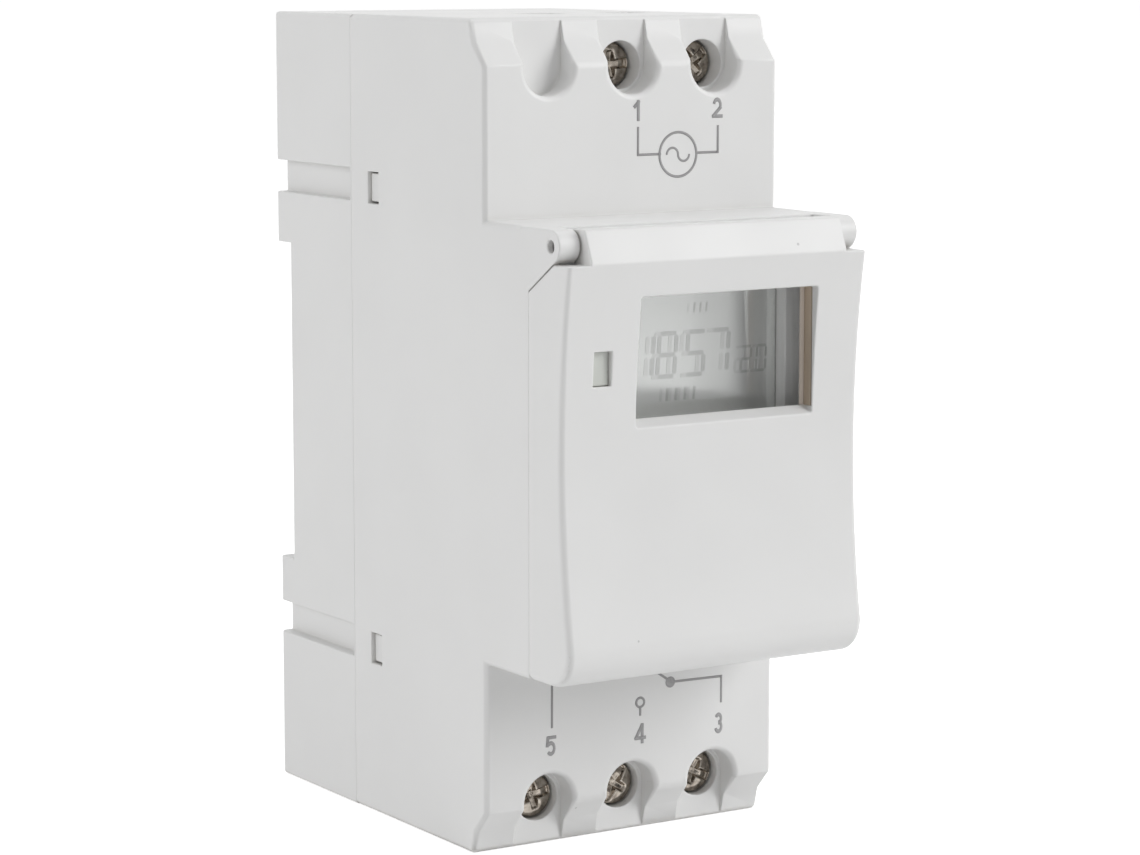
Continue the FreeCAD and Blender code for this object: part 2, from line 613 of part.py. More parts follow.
def make_rear_base():
    body = new_body("rear_base")
    plan = front_sketch(body, "plan", "0")
    rectangle(plan, "-width / 2", "0", "width / 2", "height", "edge_round")
    pad(body, plan, "seam_depth")
    bevel_edges(body, "edge_round", lambda edge: lies_at_depth(edge, "0"))

    recess = side_sketch(body, "rail_recess")
    rectangle(recess, "-1", "rail_bottom", "rail_floor_depth", RAIL_TOP)
    pocket(body, recess, "width + 2", symmetric=True)

    grooves = front_sketch(body, "side_grooves", "0")
    groove_feet = (
        "(nose_bottom - groove_gap - groove_height)",
        f"({NOSE_TOP} + groove_gap)",
    )
    for foot in groove_feet:
        for sign in ("", "-"):
            inner = f"{sign}(width / 2 - groove_inset)"
            outer = f"{sign}(width / 2 + {OVERCUT})"
            rectangle(grooves, inner, foot, outer, f"({foot} + groove_height)")
    pocket(body, grooves, "groove_length", backwards=True)

    cavity = front_sketch(body, "cavity", "seam_depth")
    cavity_outline = []
    for sign, rows in (("", groove_feet), ("-", reversed(groove_feet))):
        wall_x = f"{sign}{INNER_HALF}"
        block_x = f"{sign}groove_block_half"
        first, last = ("wall", from_top("wall")) if sign == "" else (from_top("wall"), "wall")
        cavity_outline.append((wall_x, first))
        for foot in rows:
            low = f"({foot} - groove_block_rim)"
            high = f"({foot} + groove_height + groove_block_rim)"
            near, far = (low, high) if sign == "" else (high, low)
            cavity_outline += [(wall_x, near), (block_x, near), (block_x, far), (wall_x, far)]
        cavity_outline.append((wall_x, last))
    outline(cavity, cavity_outline)
    pocket(body, cavity, "seam_depth - floor_depth")

    upper = front_sketch(body, "upper_cavity", "floor_depth")
    rectangle(
        upper, "-groove_block_half", f"{RAIL_TOP} + wall", "groove_block_half", from_top("wall")
    )
    pocket(body, upper, "floor_depth - upper_floor_depth")

    mouth = front_sketch(body, "latch_mouth", "0")
    half = "(latch_half + latch_play)"
    rectangle(mouth, f"-{half}", f"-{OVERCUT}", half, f"rail_bottom + {OVERCUT}")
    pocket(body, mouth, "latch_neck_depth", backwards=True)
    channel = front_sketch(body, "latch_channel", "latch_neck_depth")
    wing = "(latch_wing_half + latch_play)"
    rectangle(channel, f"-{wing}", f"-{OVERCUT}", wing, f"rail_bottom + {OVERCUT}")
    pocket(body, channel, "latch_channel_depth - latch_neck_depth", backwards=True)
    seat = front_sketch(body, "spring_post", "latch_channel_depth")
    seat_half = "(spring_window_half - latch_play)"
    rectangle(seat, f"-{seat_half}", "spring_seat - spring_post", seat_half, "spring_seat")
    pad(body, seat, "latch_channel_depth - latch_play", backwards=True)

    for name, across in (("left", "-hook_inner"), ("right", "hook_inner + hook_length")):
        hook = side_sketch(body, f"{name}_hook", across)
        outline(hook, [
            ("0", RAIL_TOP),
            ("0", f"{RAIL_TOP} - hook_reach / 2"),
            ("hook_reach / 2", f"{RAIL_TOP} - hook_reach"),
            ("hook_depth", f"{RAIL_TOP} - hook_reach"),
            ("hook_depth", RAIL_TOP),
        ])
        pad(body, hook, "hook_length")

    lip = front_sketch(body, "lip", "seam_depth")
    for inset in ("(wall + lip_play)", "(wall + lip_play + lip_wall)"):
        rectangle(
            lip, f"-(width / 2 - {inset})", inset, f"(width / 2 - {inset})", from_top(inset)
        )
    pad(body, lip, "lip_height")

    for row, foot in (("low", "snap_low"), ("high", "snap_high")):
        tongues = plan_sketch(body, f"{row}_tongues", f"({foot} + snap_height - tongue_play)")
        for sign in ("", "-"):
            outer = f"({INNER_HALF} - tongue_play)"
            inner = f"({outer} - tongue_thick)"
            nib = f"({outer} + tongue_play + tongue_nib)"
            nib_rear = "(snap_depth + tongue_play)"
            nib_front = "(snap_depth + snap_width - tongue_play)"
            outline(tongues, [
                (f"{sign}{inner}", "seam_depth - lip_height"),
                (f"{sign}{outer}", "seam_depth - lip_height"),
                (f"{sign}{outer}", nib_rear),
                (f"{sign}{nib}", nib_rear),
                (f"{sign}{nib}", f"{nib_rear} + tongue_nib / 2"),
                (f"{sign}{outer}", nib_front),
                (f"{sign}{inner}", nib_front),
            ])
        pad(body, tongues, "snap_height - 2 * tongue_play")

    posts = front_sketch(body, "board_posts", "upper_floor_depth / 2")
    for across in ("post_across", "-post_across"):
        for up in ("post_low", "post_high"):
            circle(posts, across, up, "post_radius")
    pad(body, posts, "power_board_depth - upper_floor_depth / 2")
    return body


def make_front_housing():
    body = new_body("front_housing")
    outer = side_sketch(body, "outer")
    outline(outer, [
        ("seam_depth", "0"),
        ("brow_depth", "0"),
        ("bevel_break_depth", "bevel_break"),
        ("shoulder_depth", "bevel_foot"),
        ("shoulder_depth", "nose_bottom"),
        ("ledge_depth", "nose_bottom"),
        ("ledge_depth", NOSE_TOP),
        ("shoulder_depth", NOSE_TOP),
        ("shoulder_depth", from_top("bevel_foot")),
        ("bevel_break_depth", from_top("bevel_break")),
        ("brow_depth", from_top("0")),
        ("seam_depth", from_top("0")),
    ])
    pad(body, outer, "width", symmetric=True)

    def shell_edge(edge):
        if lies_at_depth(edge, "seam_depth") or lies_at_depth(edge, "ledge_depth"):
            return False
        if on_side_face(edge):
            return True
        heights = [vertex.Point.z for vertex in edge.Vertexes]
        ends = (0.0, value("height"))
        return any(all(close(up, end) for up in heights) for end in ends)

    bevel_edges(body, "edge_round", shell_edge)

    panel = front_sketch(body, "panel", "ledge_depth")
    rectangle(panel, "-panel_half", "nose_bottom + panel_margin", "panel_half", "panel_top")
    pad(body, panel, "panel_depth - ledge_depth")

    lip = side_sketch(body, "hinge_lip")
    lip_face = "(hinge_depth - groove_radius)"
    shelf = f"({HINGE_HEIGHT} - barrel_radius / 2)"
    outline(lip, [
        ("ledge_depth - wall / 2", NOSE_TOP),
        ("ledge_depth - wall / 2", "panel_top"),
        ("panel_depth", "panel_top"),
        (lip_face, "panel_top + wall / 2"),
        (lip_face, shelf),
        ("hinge_depth - swing_room", shelf),
        ("hinge_depth - swing_room", NOSE_TOP),
    ])
    pad(body, lip, "2 * ear_inner", symmetric=True)

    for name, across in (("left", "-ear_inner"), ("right", "width / 2")):
        ear = side_sketch(body, f"{name}_ear", across)
        ear_outline(ear)
        pad(body, ear, "width / 2 - ear_inner")

    cavity = side_sketch(body, "cavity")
    shoulder_inside = "(shoulder_depth - wall)"
    nose_low = "(nose_bottom + wall)"
    nose_high = f"({NOSE_TOP} - wall)"
    nose_inside = "(ledge_depth - wall)"
    outline(cavity, [
        (f"seam_depth - {OVERCUT}", "wall"),
        ("guide_depth", "wall"),
        ("guide_depth", "guide_reach"),
        (shoulder_inside, "guide_reach"),
        (shoulder_inside, nose_low),
        (nose_inside, nose_low),
        (nose_inside, nose_high),
        (shoulder_inside, nose_high),
        (shoulder_inside, from_top("guide_reach")),
        ("guide_depth", from_top("guide_reach")),
        ("guide_depth", from_top("wall")),
        (f"seam_depth - {OVERCUT}", from_top("wall")),
    ])
    pocket(body, cavity, "width - 2 * wall", symmetric=True)
    pit = front_sketch(body, "panel_cavity", PANEL_BACK)
    rectangle(
        pit, "-panel_cavity_half", "nose_bottom + panel_margin + wall",
        "panel_cavity_half", "panel_top - wall",
    )
    pocket(body, pit, f"{PANEL_BACK} - {nose_inside}")

    cut_terminal_openings(body)
    cut_panel_openings(body)
    add_housing_ribs(body)

    snaps = side_sketch(body, "snap_windows")
    for foot in ("snap_low", "snap_high"):
        rectangle(snaps, "snap_depth", foot, "snap_depth + snap_width", f"{foot} + snap_height")
    pocket(body, snaps, "width + 2", symmetric=True)
    bore = side_sketch(body, "pin_bore")
    circle(bore, "hinge_depth", HINGE_HEIGHT, "pin_radius")
    pocket(body, bore, "width + 2", symmetric=True)
    return body


def ear_outline(sketch):
    """A hinge ear: a web that ends in a round barrel, tangent above and below."""
    axis = FreeCAD.Vector(value("hinge_depth"), value(HINGE_HEIGHT), 0)
    radius = value("barrel_radius")
    foot = FreeCAD.Vector(value("ledge_depth"), value("ear_foot"), 0)
    rear_x = value("ledge_depth - wall")
    top = axis + FreeCAD.Vector(0, radius, 0)
    sight = axis - foot
    swing = math.atan2(sight.y, sight.x) - math.asin(radius / sight.Length)
    reach = math.sqrt(sight.Length ** 2 - radius ** 2)
    under = foot + FreeCAD.Vector(math.cos(swing), math.sin(swing), 0) * reach
    first = math.atan2(under.y - axis.y, under.x - axis.x)
    ring = Part.Circle(axis, FreeCAD.Vector(0, 0, 1), radius)
    barrel = sketch.addGeometry(Part.ArcOfCircle(ring, first, math.pi / 2))
    corners = [
        top,
        FreeCAD.Vector(rear_x, top.y, 0),
        FreeCAD.Vector(rear_x, foot.y, 0),
        foot,
        under,
    ]
    lines = [
        sketch.addGeometry(Part.LineSegment(one, other))
        for one, other in zip(corners, corners[1:])
    ]
    for one, other in zip(lines, lines[1:]):
        sketch.addConstraint(Sketcher.Constraint("Coincident", one, 2, other, 1))
    sketch.addConstraint(Sketcher.Constraint("Tangent", barrel, 2, lines[0], 1))
    sketch.addConstraint(Sketcher.Constraint("Tangent", barrel, 1, lines[3], 2))
    tie_point(sketch, barrel, 3, "hinge_depth", HINGE_HEIGHT)
    tie_radius(sketch, barrel, "barrel_radius")
    sketch.addConstraint(Sketcher.Constraint("Horizontal", lines[0]))
    tie_point(sketch, lines[2], 1, "ledge_depth - wall", "ear_foot")
    sketch.addConstraint(Sketcher.Constraint("Vertical", lines[1]))
    tie_point(sketch, lines[3], 1, "ledge_depth", "ear_foot")


def cut_terminal_openings(body):
    """Screwdriver wells, screw holes and wire entries of both rows."""
    wells = front_sketch(body, "wells", f"shoulder_depth + {OVERCUT}")
    for top in (True, False):
        for across in WELL_PLACES:
            u_outline(wells, across, top)
    pocket(body, wells, f"shoulder_depth - brow_depth + {OVERCUT}")

    holes = front_sketch(body, "screw_holes", f"shoulder_depth + {OVERCUT}")
    for number, top, across in TERMINALS:
        circle(holes, across, at_end(top, "screw_inset"), "screw_hole_radius")
    pocket(body, holes, f"shoulder_depth - guide_depth + 2 * {OVERCUT}")

    for top in (True, False):
        entries = plan_sketch(body, f"entries_{'top' if top else 'bottom'}", at_end(top, "0"))
        for number, row_top, across in TERMINALS:
            if row_top == top:
                rectangle(
                    entries,
                    f"{across} - entry_half", "bar_depth - wire_room - entry_margin",
                    f"{across} + entry_half", "bar_depth + entry_margin",
                )
        pocket(body, entries, f"wall + {OVERCUT}", backwards=top)


def u_outline(sketch, across, top):
    """One well: a half circle that opens straight to the end of the case."""
    up = 1 if top else -1
    centre = FreeCAD.Vector(value(across), value(at_end(top, "screw_inset")), 0)
    radius = value("well_radius")
    mouth = value(f"{at_end(top, '0')}") + up * value(OVERCUT)
    ring = Part.Circle(centre, FreeCAD.Vector(0, 0, 1), radius)
    first, last = (math.pi, 2 * math.pi) if top else (0, math.pi)
    arc = sketch.addGeometry(Part.ArcOfCircle(ring, first, last))
    sides = [centre.x - up * radius, centre.x + up * radius]
    start_foot = FreeCAD.Vector(sides[0], centre.y, 0)
    start_mouth = FreeCAD.Vector(sides[0], mouth, 0)
    end_foot = FreeCAD.Vector(sides[1], centre.y, 0)
    end_mouth = FreeCAD.Vector(sides[1], mouth, 0)
    first_side = sketch.addGeometry(Part.LineSegment(start_foot, start_mouth))
    second_side = sketch.addGeometry(Part.LineSegment(end_mouth, end_foot))
    mouth_line = sketch.addGeometry(Part.LineSegment(start_mouth, end_mouth))
    sketch.addConstraint(Sketcher.Constraint("Tangent", arc, 1, first_side, 1))
    sketch.addConstraint(Sketcher.Constraint("Tangent", arc, 2, second_side, 2))
    sketch.addConstraint(Sketcher.Constraint("Coincident", first_side, 2, mouth_line, 1))
    sketch.addConstraint(Sketcher.Constraint("Coincident", mouth_line, 2, second_side, 1))
    sketch.addConstraint(Sketcher.Constraint("Vertical", first_side))
    sketch.addConstraint(Sketcher.Constraint("Horizontal", mouth_line))
    tie_point(sketch, arc, 3, across, at_end(top, "screw_inset"))
    tie_radius(sketch, arc, "well_radius")
    mouth_text = f"height + {OVERCUT}" if top else f"-{OVERCUT}"
    tie(sketch, "DistanceY", mouth_line, 1, mouth_text)


# The keys under the flap: label, place across, row, shape.
KEYS = (
    ("button_program", "-1.5 * key_pitch", "key_row_upper", "round"),
    ("button_day", "-0.5 * key_pitch", "key_row_upper", "round"),
    ("button_hour", "0.5 * key_pitch", "key_row_upper", "round"),
    ("button_minute", "1.5 * key_pitch", "key_row_upper", "round"),
    ("button_clock", "-key_pitch_lower", "key_row_lower", "round"),
    ("button_manual", "0", "key_row_lower", "long"),
    ("button_reset", "key_pitch_lower", "key_row_lower", "small"),
)


def key_outline(sketch, across, row, shape, extra):
    """The outline of a key, grown by extra: round, small and round, or long with round ends."""
    if shape == "long":
        radius = f"(key_radius + {extra})"
        reach = f"(key_long_half + {radius})"
        rectangle(
            sketch, f"{across} - {reach}", f"{row} - {radius}",
            f"{across} + {reach}", f"{row} + {radius}", f"{radius} * 0.98",
        )
    else:
        size = "reset_radius" if shape == "small" else "key_radius"
        circle(sketch, across, row, f"({size} + {extra})")


def cut_panel_openings(body):
    """The display window, the lamp hole and the key holes of the panel."""
    openings = front_sketch(body, "panel_openings", f"panel_depth + {OVERCUT}")
    rectangle(
        openings,
        "lcd_middle - lcd_view_width / 2", "lcd_height_middle - lcd_view_tall / 2",
        "lcd_middle + lcd_view_width / 2", "lcd_height_middle + lcd_view_tall / 2",
    )
    circle(openings, "led_across", "led_height", "led_radius + led_play")
    for label, across, row, shape in KEYS:
        key_outline(openings, across, row, shape, "key_play")
    pocket(body, openings, f"panel_wall + 2 * {OVERCUT}")


def add_housing_ribs(body):
    """Walls between the terminals, ribs for the power board, posts for the display board."""
    walls = front_sketch(body, "terminal_walls", "rib_depth")
    for top in (True, False):
        low, high = ("wall / 2", "rib_reach")
        if top:
            low, high = from_top("rib_reach"), from_top("wall / 2")
        for side in ("-pitch / 2", "pitch / 2"):
            rectangle(walls, f"{side} - rib_thick / 2", low, f"{side} + rib_thick / 2", high)
    pad(body, walls, "guide_depth - rib_depth + wall / 2")

    ribs = front_sketch(body, "board_ribs", POWER_FRONT)
    for foot in ("power_rib_low", "power_rib_high"):
        for sign in ("", "-"):
            rectangle(
                ribs, f"{sign}({INNER_HALF} - power_rib_reach)", foot,
                f"{sign}({INNER_HALF} + wall / 2)", f"{foot} + power_rib_height",
            )
    pad(body, ribs, f"shoulder_depth - wall / 2 - {POWER_FRONT}")

    posts = front_sketch(body, "display_posts", DISPLAY_FRONT)
    bores = front_sketch(body, "display_post_bores", DISPLAY_FRONT)
    for name, across, up in BOARD_POSTS:
        circle(posts, across, up, "display_post_radius")
        circle(bores, across, up, "board_screw_radius")
    pad(body, posts, f"ledge_depth - wall / 2 - {DISPLAY_FRONT}")
    pocket(body, bores, "board_screw_length", backwards=True)


def make_flap_cover():
    body = new_body("flap_cover")
    shell = side_sketch(body, "shell")
    flap_shell_outline(shell)
    pad(body, shell, "width", symmetric=True)

    for name, across in (("left", "-roll_half"), ("right", f"width / 2 + {OVERCUT}")):
        notch = side_sketch(body, f"{name}_notch", across)
        notch_outline(notch)
        pocket(body, notch, f"width / 2 - roll_half + {OVERCUT}", backwards=True)

    def front_edge(edge):
        return on_side_face(edge) and edge.Curve.TypeId == "Part::GeomCircle"

    bevel_edges(body, "flap_edge", front_edge)

    inside = side_sketch(body, "inside")
    flap_inside_outline(inside)
    pocket(body, inside, "width - 2 * flap_side", symmetric=True)

    frame = front_sketch(body, "pane_frame", "pane_depth")
    grown = "(pane_lap + pane_frame)"
    rectangle(
        frame, f"window_left - {grown}", f"window_bottom - {grown}",
        f"window_right + {grown}", f"window_top + {grown}",
    )
    pad(body, frame, "depth - flap_hollow - flap_wall / 2 - pane_depth")
    seat = front_sketch(body, "pane_seat", "pane_depth")
    rectangle(
        seat, "window_left - pane_lap", "window_bottom - pane_lap",
        "window_right + pane_lap", "window_top + pane_lap",
    )
    pocket(body, seat, "pane_thick", backwards=True)
    windows = front_sketch(body, "windows", f"depth + {OVERCUT}")
    rectangle(windows, "window_left", "window_bottom", "window_right", "window_top", "0.3")
    rectangle(
        windows, "guide_left", "guide_foot",
        "guide_left + guide_width", "guide_foot + guide_height",
    )
    pocket(body, windows, f"depth - pane_depth + {OVERCUT}")

    bore = side_sketch(body, "pin_bore")
    circle(bore, "hinge_depth", HINGE_HEIGHT, "pin_radius + pin_play")
    pocket(body, bore, "width + 2", symmetric=True)
    return body


def arc_between(sketch, low, high, sag):
    """An arc of the hollow front: from low to high, its middle set back by sag."""
    half = (high - low).Length / 2
    radius = (half ** 2 + sag ** 2) / (2 * sag)
    middle = (low + high) * 0.5
    centre = middle + FreeCAD.Vector(radius - sag, 0, 0)
    spread = math.asin(half / radius)
    ring = Part.Circle(centre, FreeCAD.Vector(0, 0, 1), radius)
    arc = Part.ArcOfCircle(ring, math.pi - spread, math.pi + spread)
    return sketch.addGeometry(arc)


def open_outline(sketch, corners):
    """Straight edges from corner to corner; the ends are left for an arc to join."""
    points = [FreeCAD.Vector(value(x_text), value(y_text), 0) for x_text, y_text in corners]
    lines = [
        sketch.addGeometry(Part.LineSegment(one, other))
        for one, other in zip(points, points[1:])
    ]
    for index, line in enumerate(lines):
        tie_point(sketch, line, 1, *corners[index])
        if index:
            sketch.addConstraint(Sketcher.Constraint("Coincident", lines[index - 1], 2, line, 1))
    tie_point(sketch, lines[-1], 2, *corners[-1])
    return lines


def join_hollow_arc(sketch, lower_line, lower_end, upper_line, upper_end, sag_text):
    """Close a flap outline with the hollow front arc, its depth tied to the sheet."""
    low = sketch.getPoint(lower_line, lower_end)
    high = sketch.getPoint(upper_line, upper_end)
    arc = arc_between(sketch, low, high, value(sag_text))
    sketch.addConstraint(Sketcher.Constraint("Coincident", arc, 2, lower_line, lower_end))
    sketch.addConstraint(Sketcher.Constraint("Coincident", arc, 1, upper_line, upper_end))
    return arc


FLAP_LOW = "(nose_bottom + flap_corner)"
FLAP_HIGH = f"({NOSE_TOP} - flap_brow)"
HALF_FRONT = f"(({FLAP_HIGH} - {FLAP_LOW}) / 2)"
HOLLOW_RADIUS = f"(({HALF_FRONT} ^ 2 + flap_hollow ^ 2) / (2 * flap_hollow))"


def flap_shell_outline(sketch):
    """The solid outer form of the flap, with the roll of the hinge at its top."""
    rear = "(ledge_depth + flap_gap)"
    lower = open_outline(sketch, [
        ("hinge_depth", f"({HINGE_HEIGHT} - barrel_radius)"),
        (rear, "ear_foot"),
        (rear, "nose_bottom"),
        ("depth - flap_corner", "nose_bottom"),
    ])
    upper = open_outline(sketch, [
        ("depth", FLAP_HIGH),
        ("flap_brow_depth", NOSE_TOP),
        ("hinge_depth", NOSE_TOP),
    ])
    axis = FreeCAD.Vector(value("hinge_depth"), value(HINGE_HEIGHT), 0)
    ring = Part.Circle(axis, FreeCAD.Vector(0, 0, 1), value("barrel_radius"))
    roll = sketch.addGeometry(Part.ArcOfCircle(ring, math.pi / 2, 3 * math.pi / 2))
    sketch.addConstraint(Sketcher.Constraint("Coincident", roll, 1, upper[-1], 2))
    sketch.addConstraint(Sketcher.Constraint("Coincident", roll, 2, lower[0], 1))
    tie(sketch, "DistanceX", roll, 3, "hinge_depth")
    join_front(sketch, lower[-1], upper[0])


def join_front(sketch, bottom_line, brow_line):
    """The rounded lower lip and the hollow front arc, tangent to each other."""
    corner_radius = value("flap_corner")
    hollow_radius = value(HOLLOW_RADIUS)
    corner_centre = FreeCAD.Vector(
        value("depth - flap_corner"), value("nose_bottom + flap_corner"), 0
    )
    brow = FreeCAD.Vector(value("depth"), value(FLAP_HIGH), 0)
    sight = brow - corner_centre
    span = sight.Length
    both = hollow_radius + corner_radius
    along = (both ** 2 - hollow_radius ** 2 + span ** 2) / (2 * span)
    aside = math.sqrt(both ** 2 - along ** 2)
    ahead = FreeCAD.Vector(sight.y, -sight.x, 0) * (1 / span)
    hollow_centre = corner_centre + sight * (along / span) + ahead * aside
    up = FreeCAD.Vector(0, 0, 1)
    swing = math.atan2(hollow_centre.y - corner_centre.y, hollow_centre.x - corner_centre.x)
    corner_ring = Part.Circle(corner_centre, up, corner_radius)
    corner = sketch.addGeometry(Part.ArcOfCircle(corner_ring, -math.pi / 2, swing))
    first = math.atan2(brow.y - hollow_centre.y, brow.x - hollow_centre.x)
    hollow_ring = Part.Circle(hollow_centre, up, hollow_radius)
    hollow = sketch.addGeometry(Part.ArcOfCircle(hollow_ring, first, swing + math.pi))
    sketch.addConstraint(Sketcher.Constraint("Tangent", bottom_line, 2, corner, 1))
    sketch.addConstraint(Sketcher.Constraint("Tangent", corner, 2, hollow, 2))
    sketch.addConstraint(Sketcher.Constraint("Coincident", hollow, 1, brow_line, 1))
    tie_radius(sketch, corner, "flap_corner")
    tie_radius(sketch, hollow, HOLLOW_RADIUS)


def flap_inside_outline(sketch):
    """The hollow of the flap, open to the rear."""
    front = "(depth - flap_wall)"
    inner_low = f"({FLAP_LOW} + flap_wall / 8)"
    inner_high = f"({FLAP_HIGH} - flap_wall)"
    half_inside = f"(({inner_high} - {inner_low}) / 2)"
    lower = open_outline(sketch, [
        (f"ledge_depth - {OVERCUT}", f"({HINGE_HEIGHT} - barrel_radius)"),
        (f"ledge_depth - {OVERCUT}", "nose_bottom + flap_side"),
        (f"{front} - flap_wall", "nose_bottom + flap_side"),
        (front, inner_low),
    ])
    upper = open_outline(sketch, [
        (front, inner_high),
        (f"{front} - flap_wall", f"({HINGE_HEIGHT} - barrel_radius)"),
        (f"ledge_depth - {OVERCUT}", f"({HINGE_HEIGHT} - barrel_radius)"),
    ])
    arc = join_hollow_arc(sketch, lower[-1], 2, upper[0], 1, "flap_hollow")
    tie_radius(sketch, arc, f"(({half_inside} ^ 2 + flap_hollow ^ 2) / (2 * flap_hollow))")


def notch_outline(sketch):
    """The room for a hinge ear: the ear's slope and a level ledge, both set off by a gap."""
    rise = f"({HINGE_HEIGHT} - ear_foot)"
    run = "(hinge_depth - ledge_depth)"
    slope = f"(atan2({rise}; {run}) - asin(barrel_radius / sqrt({rise} ^ 2 + {run} ^ 2)))"
    ledge = f"({HINGE_HEIGHT} - barrel_radius - notch_gap / 2)"
    foot = f"(ear_foot - notch_gap / cos{slope})"
    rear = f"(ledge_depth - {OVERCUT})"
    outline(sketch, [
        (rear, f"{foot} - {OVERCUT} * tan{slope}"),
        (f"ledge_depth + ({ledge} - {foot}) / tan{slope}", ledge),
        (f"depth + {OVERCUT}", ledge),
        (f"depth + {OVERCUT}", f"{NOSE_TOP} + {OVERCUT}"),
        (rear, f"{NOSE_TOP} + {OVERCUT}"),
    ])


def make_pane():
    body = new_body("flap_window_pane")
    face = front_sketch(body, "face", "pane_depth")
    lap = "(pane_lap - pane_play)"
    rectangle(
        face, f"window_left - {lap}", f"window_bottom - {lap}",
        f"window_right + {lap}", f"window_top + {lap}",
    )
    pad(body, face, "pane_thick")
    return body


def make_light_guide():
    body = new_body("light_guide")
    flange = front_sketch(body, "flange", "guide_rear_depth")
    rectangle(
        flange, "guide_left - guide_flange", "guide_foot - guide_flange",
        "guide_left + guide_width + guide_flange", "guide_foot + guide_height + guide_flange",
    )
    pad(body, flange, "guide_flange_thick")
    rod = front_sketch(body, "rod", "guide_rear_depth")
    rectangle(
        rod, "guide_left + guide_play", "guide_foot + guide_play",
        "guide_left + guide_width - guide_play", "guide_foot + guide_height - guide_play",
    )
    pad(body, rod, "guide_face_depth - guide_rear_depth")
    return body


def make_hinge_pin():
    body = new_body("hinge_pin")
    end = side_sketch(body, "end")
    circle(end, "hinge_depth", HINGE_HEIGHT, "pin_radius")
    pad(body, end, "width - 2 * pin_sunk", symmetric=True)
    return body


def make_rail_latch():
    body = new_body("rail_latch")
    blade = side_sketch(body, "blade")
    inner_face = "(latch_channel_depth - latch_play)"
    nose = "(rail_bottom + latch_nose)"
    outline(blade, [
        ("0", "latch_foot"),
        ("0", "rail_bottom + latch_nose / 3"),
        ("latch_nose_depth / 2", nose),
        ("latch_nose_depth", nose),
        ("latch_nose_depth", "rail_bottom - latch_play"),
        (inner_face, "rail_bottom - latch_play"),
        (inner_face, "latch_foot"),
    ])
    pad(body, blade, "2 * latch_half", symmetric=True)
    wings = front_sketch(body, "wings", "latch_neck_depth + latch_play")
    rectangle(wings, "-latch_wing_half", "latch_wing_foot", "latch_wing_half", "latch_wing_top")
    pad(body, wings, f"{inner_face} - latch_neck_depth - latch_play")
    openings = front_sketch(body, "openings", f"latch_channel_depth + {OVERCUT}")
    rectangle(
        openings, "-spring_window_half", "spring_window_foot",
        "spring_window_half", "spring_seat + spring_length",
    )
    rectangle(
        openings, "-pull_slot_half", "pull_slot_foot",
        "pull_slot_half", "pull_slot_foot + pull_slot_height",
    )
    pocket(body, openings, f"latch_channel_depth + 2 * {OVERCUT}")
    return body


def make_latch_spring():
    """A compression spring of round wire, each half turn an arc that also climbs."""
    radius = value("spring_radius")
    wire = value("spring_wire")
    length = value("spring_length") - 2 * wire
    foot = value("spring_seat") + wire
    axis_y = value("depth / 2 - latch_channel_depth / 2")
    half_turns = int(2 * value("spring_turns"))
    rise = length / half_turns
    edges = []
    for half_turn in range(half_turns):
        points = []
        for share in (0, 0.5, 1):
            angle = math.pi * (half_turn + share)
            points.append(FreeCAD.Vector(
                radius * math.cos(angle),
                axis_y + radius * math.sin(angle),
                foot + rise * (half_turn + share),
            ))
        edges.append(Part.Arc(*points).toShape())
    path = Part.Wire(edges)
    start = path.Edges[0].Vertexes[0].Point
    along = path.Edges[0].tangentAt(path.Edges[0].FirstParameter)
    out = FreeCAD.Vector(math.cos(0), math.sin(0), 0)
    aside = along.cross(out)
    sides = int(value("spring_sides"))
    corners = []
    for corner in range(sides + 1):
        angle = 2 * math.pi * corner / sides
        corners.append(start + (out * math.cos(angle) + aside * math.sin(angle)) * wire)
    section = Part.makePolygon(corners)
    gap = rise * 2 - 2 * wire
    print(f"latch spring: {half_turns / 2:.0f} turns, {gap:.2f} mm between them")
    spring = document.addObject("Part::Feature", "latch_spring")
    spring.Shape = path.makePipeShell([section], True, False)
    spring.Label = "latch_spring"
    return spring


def box_body(label, left, foot, right, top, rear, length, radius=None):
    """A plain block: its outline from the front, and how far it reaches forward."""
    body = new_body(label)
    face = front_sketch(body, "face", rear)
    rectangle(face, left, foot, right, top, radius)
    pad(body, face, length)
    return body


